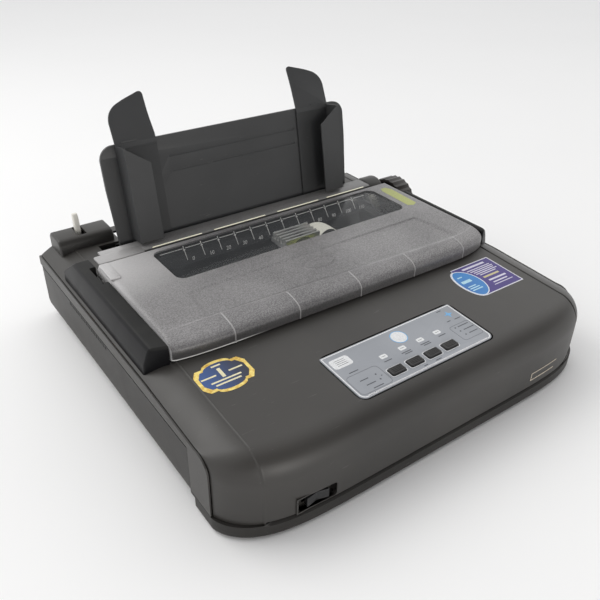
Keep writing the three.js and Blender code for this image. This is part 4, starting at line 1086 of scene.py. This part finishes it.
def key_cap(x):
    """A black cap with a dished top and three fine ribs."""
    y, w, d, proud = (BUTTON[k] for k in ("y", "w", "d", "proud"))
    cap = soften(slab("cap", round_key(x, 0, 1.5), -3.2, proud), 0.45, 3)
    dish = block("dish", (x - 5.4, y - 2.9, proud - 0.35), (x + 5.4, y + 2.9, proud + 2))
    carve(cap, soften(dish, 0.3, 2))
    ribs = [soften(block("rib", (x - 4.6, y + k * 1.5 - 0.3, proud - 0.5),
                         (x + 4.6, y + k * 1.5 + 0.3, proud - 0.05)), 0.12, 1) for k in (-1, 0, 1)]
    skirt = soften(block("skirt", (x - w / 2 - 1.5, y - d / 2 - 1.5, -3.6),
                         (x + w / 2 + 1.5, y + d / 2 + 1.5, -1.8)), 0.2, 1)
    return merge(cap, skirt, *ribs)


key_black = grained_plastic("key_black", (0.012, 0.012, 0.012), (0.022, 0.021, 0.020), 0.38, 2200,
                            0.00002)
for i, x in enumerate(BUTTON["xs"]):
    cap = deck_tilt(key_cap(x), PANEL_MID)
    cap.name = "key_cap_%d" % (i + 1)
    settle(cap, "button_%d" % (i + 1), "black_trim", key_black, "button_%d" % (i + 1))


# ---- stickers ------------------------------------------------------------------------
# Three thin laminated stickers: a blue badge in a gold border on the left, a violet one with a
# blue shield on the right, and an outlined one low on the front. They carry plain bars.
def on_deck(piece):
    """Lays a flat piece drawn on z = 0 on the falling deck, point by point."""
    for point in piece.data.vertices:
        point.co.z += deck_z(point.co.y) + 0.02
    return piece


def badge(inset):
    """A wide badge: a rectangle whose long sides swell in the middle."""
    cx, cy, half_w, half_d, swell_w, swell = -148.3, 64.2, 22.6 - inset, 13.6 - inset, 12.5, 4.9
    points = []
    for sign in (1, -1):
        arc = [(cx + sign * swell_w * math.cos(a), cy + sign * (half_d + swell * math.sin(a)))
               for a in [math.pi * i / 10 for i in range(11)]]
        points += [(cx + sign * half_w, cy + sign * (half_d - 6)),
                   (cx + sign * (half_w - 4), cy + sign * half_d)] + arc
        points += [(cx - sign * (half_w - 4), cy + sign * half_d),
                   (cx - sign * half_w, cy + sign * (half_d - 6))]
    return points


def sticker(name, look, *shapes):
    """Joins flat shapes into one layer of a sticker and lays it on the deck."""
    piece = merge(*shapes)
    piece.name = name
    settle(on_deck(piece), "chassis", "case_plastic", look)


def foil(s):
    ripple = s.noise(260, 3, 0.6)
    return {"Base_Color": s.mix(ripple.between(0.3, 0.7), (0.62, 0.38, 0.06), (0.95, 0.78, 0.25)),
            "Roughness": 0.28 + ripple * 0.15, "Metallic": 0.35, "Normal": s.bump(ripple, 0.00004, 0.6)}


def blue_field(s):
    shift = s.axis(0).between(-0.172, -0.128)
    speck = s.noise(1200, 2)
    return {"Base_Color": s.mix(shift, (0.030, 0.085, 0.27), (0.016, 0.017, 0.034)),
            "Roughness": 0.3 + speck * 0.12, "Normal": s.bump(speck, 0.00001, 0.4)}


sticker("badge_border", material("gold_foil", foil), slab("b", badge(0), 0, 0.12))
sticker("badge_field", material("badge_blue", blue_field), slab("b", badge(3.0), 0.1, 0.16))
cream = ink("cream_ink", (0.85, 0.78, 0.52), 0.4)
BADGE_BARS = [(-160.5, 66.5, 13), (-137, 66.5, 12), (-149, 59.5, 26), (-149, 55.8, 22),
              (-149, 76.5, 8)]
sticker("badge_bars", cream, *[block("bar", (x - w / 2, y - 0.8, 0.15), (x + w / 2, y + 0.8, 0.2))
                               for x, y, w in BADGE_BARS],
        soften(block("bar", (-150.6, 62, 0.15), (-147.6, 73, 0.2)), 0.02, 1))


CARD = {"x0": 110.0, "x1": 161.0, "y0": 30.2, "y1": 77.4}
SHIELD = {"x": 109.7, "y": 52.5, "left": -11.0, "right": 16.0, "half": 21.6}


def swelling(x, width, half):
    """One side of the shield, from its foot to its top, as half an ellipse."""
    turns = [math.pi * i / 12 for i in range(13)]
    return [(x + width * math.sin(a), SHIELD["y"] - half * math.cos(a)) for a in turns]


def card(inset):
    """The violet card, whose left side follows the shield."""
    left = swelling(SHIELD["x"] - 0.2 + inset * 0.4, SHIELD["left"] + inset,
                    SHIELD["half"] + 0.4 - inset)
    low, high, end = CARD["y0"] + inset, CARD["y1"] - inset, CARD["x1"] - inset
    return [(end, low), (end, high), (CARD["x0"], high)] + left[::-1] + [(CARD["x0"], low)]


def lens(inset):
    """The shield: two swelling sides that meet at the top and at the foot."""
    left = swelling(SHIELD["x"] + inset * 0.4, SHIELD["left"] + inset, SHIELD["half"] - inset)
    right = swelling(SHIELD["x"], SHIELD["right"] - inset, SHIELD["half"] - inset)
    return left[::-1] + right[1:-1]


def flat_ink(name, first, second):
    """Smooth laminated print in two close tones."""
    def paint(s):
        cloud = s.noise(30, 3)
        speck = s.noise(1400, 2)
        return {"Base_Color": s.mix(cloud.between(0.3, 0.7), first, second),
                "Roughness": 0.27 + speck * 0.12, "Normal": s.bump(speck, 0.00001, 0.4)}
    return material(name, paint)


sticker("card_border", ink("card_white", (0.72, 0.72, 0.78), 0.35), slab("c", card(0), 0, 0.10))
sticker("card_field", flat_ink("card_violet", (0.030, 0.014, 0.15), (0.045, 0.020, 0.20)),
        slab("c", card(1.2), 0.08, 0.13))
sticker("shield_border", ink("shield_white", (0.72, 0.78, 0.85), 0.35), slab("c", lens(0.2), 0.11, 0.16))
sticker("shield_field", flat_ink("shield_blue", (0.010, 0.10, 0.38), (0.02, 0.20, 0.52)),
        slab("c", lens(1.3), 0.14, 0.19))
CARD_ROWS = [(121, 151, 72, 1.3), (123, 154, 67.6, 0.6), (125, 155.5, 65, 0.6),
             (127, 154, 62.4, 0.6), (127.5, 156, 59.8, 0.6), (130, 152, 57.2, 0.6),
             (131, 154, 46.5, 1.1), (132, 151, 42, 0.8), (130, 155, 38.5, 0.5)]
sticker("card_bars", ink("card_ink", (0.68, 0.66, 0.78), 0.4),
        *[block("bar", (a, y - h, 0.12), (b, y + h, 0.17)) for a, b, y, h in CARD_ROWS])
sticker("card_gold_bar", ink("card_gold", (0.62, 0.55, 0.30), 0.4),
        block("bar", (130, 51.4, 0.12), (151, 53.8, 0.17)))
SHIELD_ROWS = [(104, 114, 48, 0.7), (103.5, 116, 45, 0.7), (104, 117, 42, 0.7),
               (106, 112, 64, 0.7), (104, 116, 56, 2.0)]
sticker("shield_bars", ink("shield_ink", (0.45, 0.72, 0.85), 0.4),
        *[block("bar", (a, y - h, 0.18), (b, y + h, 0.23)) for a, b, y, h in SHIELD_ROWS])


def front_strip(x0, x1, z0, z1):
    """A thin strip that follows the bowed front wall."""
    columns, rows = [x0 + (x1 - x0) * i / 12 for i in range(13)], [z0, z1]
    piece = formed_grid("strip", columns, rows,
                        lambda x, z: (x, front_y(x, EDGE_X + 0.5) + 0.78, z))
    face_towards(outward(piece), (0, -1, 0))
    return modify(piece, "SOLIDIFY", thickness=0.12, offset=1)


LABEL_STRIPS = ((104, 141, 29.7, 30.6), (104, 138, 22.4, 23.4), (104, 105, 22.4, 30.6))
outlined = merge(*[front_strip(*strip) for strip in LABEL_STRIPS])
outlined.name = "front_sticker"
settle(outlined, "chassis", "case_plastic", ink("sticker_line", (0.58, 0.51, 0.41), 0.4))


# ---- knob, rocker and levers ---------------------------------------------------------
# The platen knob is turned by hand through its fluted rim. The rocker sits in the front
# pocket. The white release lever stands in its housing, the grey head-gap lever inside.
knob_black = grained_plastic("knob_black", (0.016, 0.013, 0.012), (0.030, 0.025, 0.022), 0.34, 1800,
                             0.00003)
white_plastic = grained_plastic("white_plastic", (0.70, 0.68, 0.62), (0.80, 0.78, 0.72), 0.42, 1500,
                                0.00002)
grey_plastic = grained_plastic("grey_plastic", (0.20, 0.205, 0.21), (0.28, 0.285, 0.29), 0.45, 1500,
                               0.00003)
KNOB = {"y": 252, "z": 66, "growth": 1.06}
knob = bench_copy("platen_knob", "knob_moulding")
for point in knob.data.vertices:
    point.co.y = KNOB["y"] + (point.co.y - KNOB["y"]) * KNOB["growth"]
    point.co.z = KNOB["z"] + (point.co.z - KNOB["z"]) * KNOB["growth"]
soften(knob, 0.5, 2, 12)
settle(knob, "platen", "black_trim", knob_black, "platen_knob")
rocker = soften(bench_copy("power_rocker", "rocker_cap"), 0.5, 3, 20)
settle(rocker, "power_rocker", "black_trim", satin_black, "power_rocker")
lever = soften(bench_copy("release_lever", "release_lever_moulding"), 0.7, 3)
settle(lever, "release_lever", "gear_plastic", white_plastic, "release_lever")
gap_lever = soften(bench_copy("head_gap_lever", "gap_lever_moulding"), 0.4, 2)
settle(gap_lever, "head_gap_lever", "grey_plastic", grey_plastic, "head_gap_lever")


# ---- mechanism -----------------------------------------------------------------------
# The works under the cover keep their drawn shapes: pressed steel frames, ground shafts,
# acetal gears, motors, boards and the ribbon. Each takes the finish that it is made in.
def finish(look, *nodes):
    """Gives frame nodes that keep their shape a material."""
    for node in nodes:
        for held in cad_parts[node].material_slots:
            held.material = look


def metal(name, dark, light, rough, metallic, stretch, depth=0.00003):
    """Drawn or ground metal: fine lines along one axis over cloudy plating."""
    def paint(s):
        lines = s.noise(120, 4, 0.6, 0, stretch)
        plating = s.noise(45, 4, 0.55, 0.6)
        return {"Base_Color": s.mix(lines * 0.6 + plating * 0.4, dark, light),
                "Roughness": rough + lines * 0.14 + plating * 0.08, "Metallic": metallic,
                "Normal": s.bump(lines, depth, 0.6)}
    return material(name, paint)


def circuit_board(name, mask, track, tint):
    """Lacquered laminate with tracks along both axes and a scatter of solder."""
    def paint(s):
        across = (s.axis(0) * 900).sine()
        along = s.noise(210, 1, 0.4, 0, (1, 0.08, 1)).between(0.55, 0.58)
        cross = s.noise(190, 1, 0.4, 0, (0.08, 1, 1)).between(0.57, 0.60)
        pads = s.noise(700, 0).between(0.68, 0.70)
        tracks = s.mix(along.at_least(cross) * 0.8 + across * 0.02, mask, track)
        return {"Base_Color": s.mix(pads, tracks, tint), "Roughness": 0.32 + pads * 0.2,
                "Normal": s.bump(along + cross, 0.00004, 0.6)}
    return material(name, paint)


def rubber(name, dark, light, rough):
    """Ground rubber with chalky patches."""
    def paint(s):
        ground = s.noise(1100, 3, 0.7)
        chalk = s.noise(38, 5, 0.6)
        return {"Base_Color": s.mix(chalk.between(0.35, 0.75), dark, light),
                "Roughness": rough + ground * 0.2, "Normal": s.bump(ground, 0.00005, 0.8)}
    return material(name, paint)


zinc_sheet = metal("zinc_sheet", (0.34, 0.35, 0.36), (0.52, 0.53, 0.54), 0.32, 0.85, (1, 1, 12))
ground_steel = metal("ground_steel", (0.40, 0.40, 0.41), (0.55, 0.55, 0.56), 0.22, 1.0, (12, 1, 1),
                     0.000006)
motor_steel = metal("motor_steel", (0.10, 0.10, 0.11), (0.18, 0.18, 0.19), 0.38, 0.6, (1, 1, 6))
cast_aluminium = metal("cast_aluminium", (0.62, 0.62, 0.60), (0.84, 0.84, 0.82), 0.34, 0.55,
                       (1, 1, 4))
platen_rubber = rubber("platen_rubber", (0.012, 0.012, 0.012), (0.028, 0.028, 0.027), 0.5)
acetal = grained_plastic("acetal", (0.62, 0.60, 0.54), (0.76, 0.74, 0.68), 0.38, 900, 0.00003)
dark_board = circuit_board("dark_board", (0.012, 0.075, 0.035), (0.03, 0.16, 0.07),
                           (0.55, 0.55, 0.52))
brown_board = circuit_board("brown_board", (0.24, 0.14, 0.05), (0.36, 0.23, 0.10),
                            (0.55, 0.54, 0.50))


def cable_white(s):
    wires = (s.axis(2) * 2600).sine()
    dull = s.noise(60, 3)
    return {"Base_Color": s.mix(wires * 0.25 + dull * 0.4, (0.72, 0.71, 0.66), (0.88, 0.87, 0.83)),
            "Roughness": 0.35 + dull * 0.15, "Normal": s.bump(wires, 0.0001, 0.5)}


def inked_weave(s):
    warp = (s.axis(0) * 9000).sine()
    weft = (s.axis(2) * 9000).sine()
    return {"Base_Color": s.mix(s.noise(90, 3), (0.004, 0.004, 0.006), (0.016, 0.016, 0.022)),
            "Roughness": 0.6 + warp * weft * 0.1, "Normal": s.bump(warp * weft, 0.00005, 0.6)}


finish(zinc_sheet, "side_frame_left", "side_frame_right", "base_plate", "rear_guide_rail",
       "parallel_port", "usb_port")
finish(ground_steel, "carriage_rail", "platen_shaft", "tractor_shaft", "tractor_bar")
finish(motor_steel, "feed_motor", "carriage_motor", "print_head")
finish(platen_rubber, "platen_roller", "timing_belt")
finish(rubber("foot_rubber", (0.016, 0.016, 0.017), (0.034, 0.034, 0.035), 0.62),
       "foot_front_left", "foot_front_right", "foot_rear_left", "foot_rear_right")
finish(acetal, "platen_gear", "idler_gear", "feed_pinion", "tractor_gear", "tractor_wheel_left",
       "tractor_wheel_right")
finish(grey_plastic, "ribbon_winder", "drive_pulley", "idler_pulley")
finish(satin_black, "carriage", "ribbon_cartridge", "tractor_left", "tractor_right",
       "tractor_flap_left", "tractor_flap_right", "mains_inlet")
finish(dark_board, "main_board", "panel_board")
finish(brown_board, "power_supply")
finish(material("cable_white", cable_white), "head_flat_cable")
finish(material("inked_weave", inked_weave), "ribbon_band")
heat_sink = soften(bench_copy("heat_sink", "heat_sink_casting"), 0.25, 2)
settle(heat_sink, "carriage", "head_metal", cast_aluminium, "heat_sink")

# The head's flat cable leaves it to the right in a soft fold. A yellow-green tab in front of
# the fins warns that they get hot.
FOLD = {"x0": 43.4, "x1": 67.5, "y0": 199.0, "y1": 225.8, "top": 89.0, "low": 83.0}


def fold_point(t, v):
    """t runs along the cable from the head outwards, v across it."""
    x = FOLD["x0"] + (FOLD["x1"] - FOLD["x0"]) * t
    z = FOLD["low"] + (FOLD["top"] - FOLD["low"]) * math.sin(math.pi * t) ** 0.8
    return (x, FOLD["y0"] + (FOLD["y1"] - FOLD["y0"]) * v * (1 - 0.55 * t * v), z)


fold = formed_grid("head_cable_fold", spread(0, 1, 24) + [1.0], spread(0, 1, 6) + [1.0], fold_point)
outward(fold)
modify(fold, "SOLIDIFY", thickness=0.4, offset=0)
# The fold's near-white glows: painted light.
settle(fold, "carriage", "cable_white", ink("cable_glow", (0.90, 0.89, 0.78), 0.35, 0.35))
caution = soften(slab("caution_tab", rounded(5, 38, 183.5, 197.2, 1.5), 82.0, 84.0), 0.4, 2)
# The tab's yellow-green glows a little: painted light.
settle(caution, "carriage", "gear_plastic", ink("caution_yellow", (0.55, 0.62, 0.06), 0.4, 0.12))
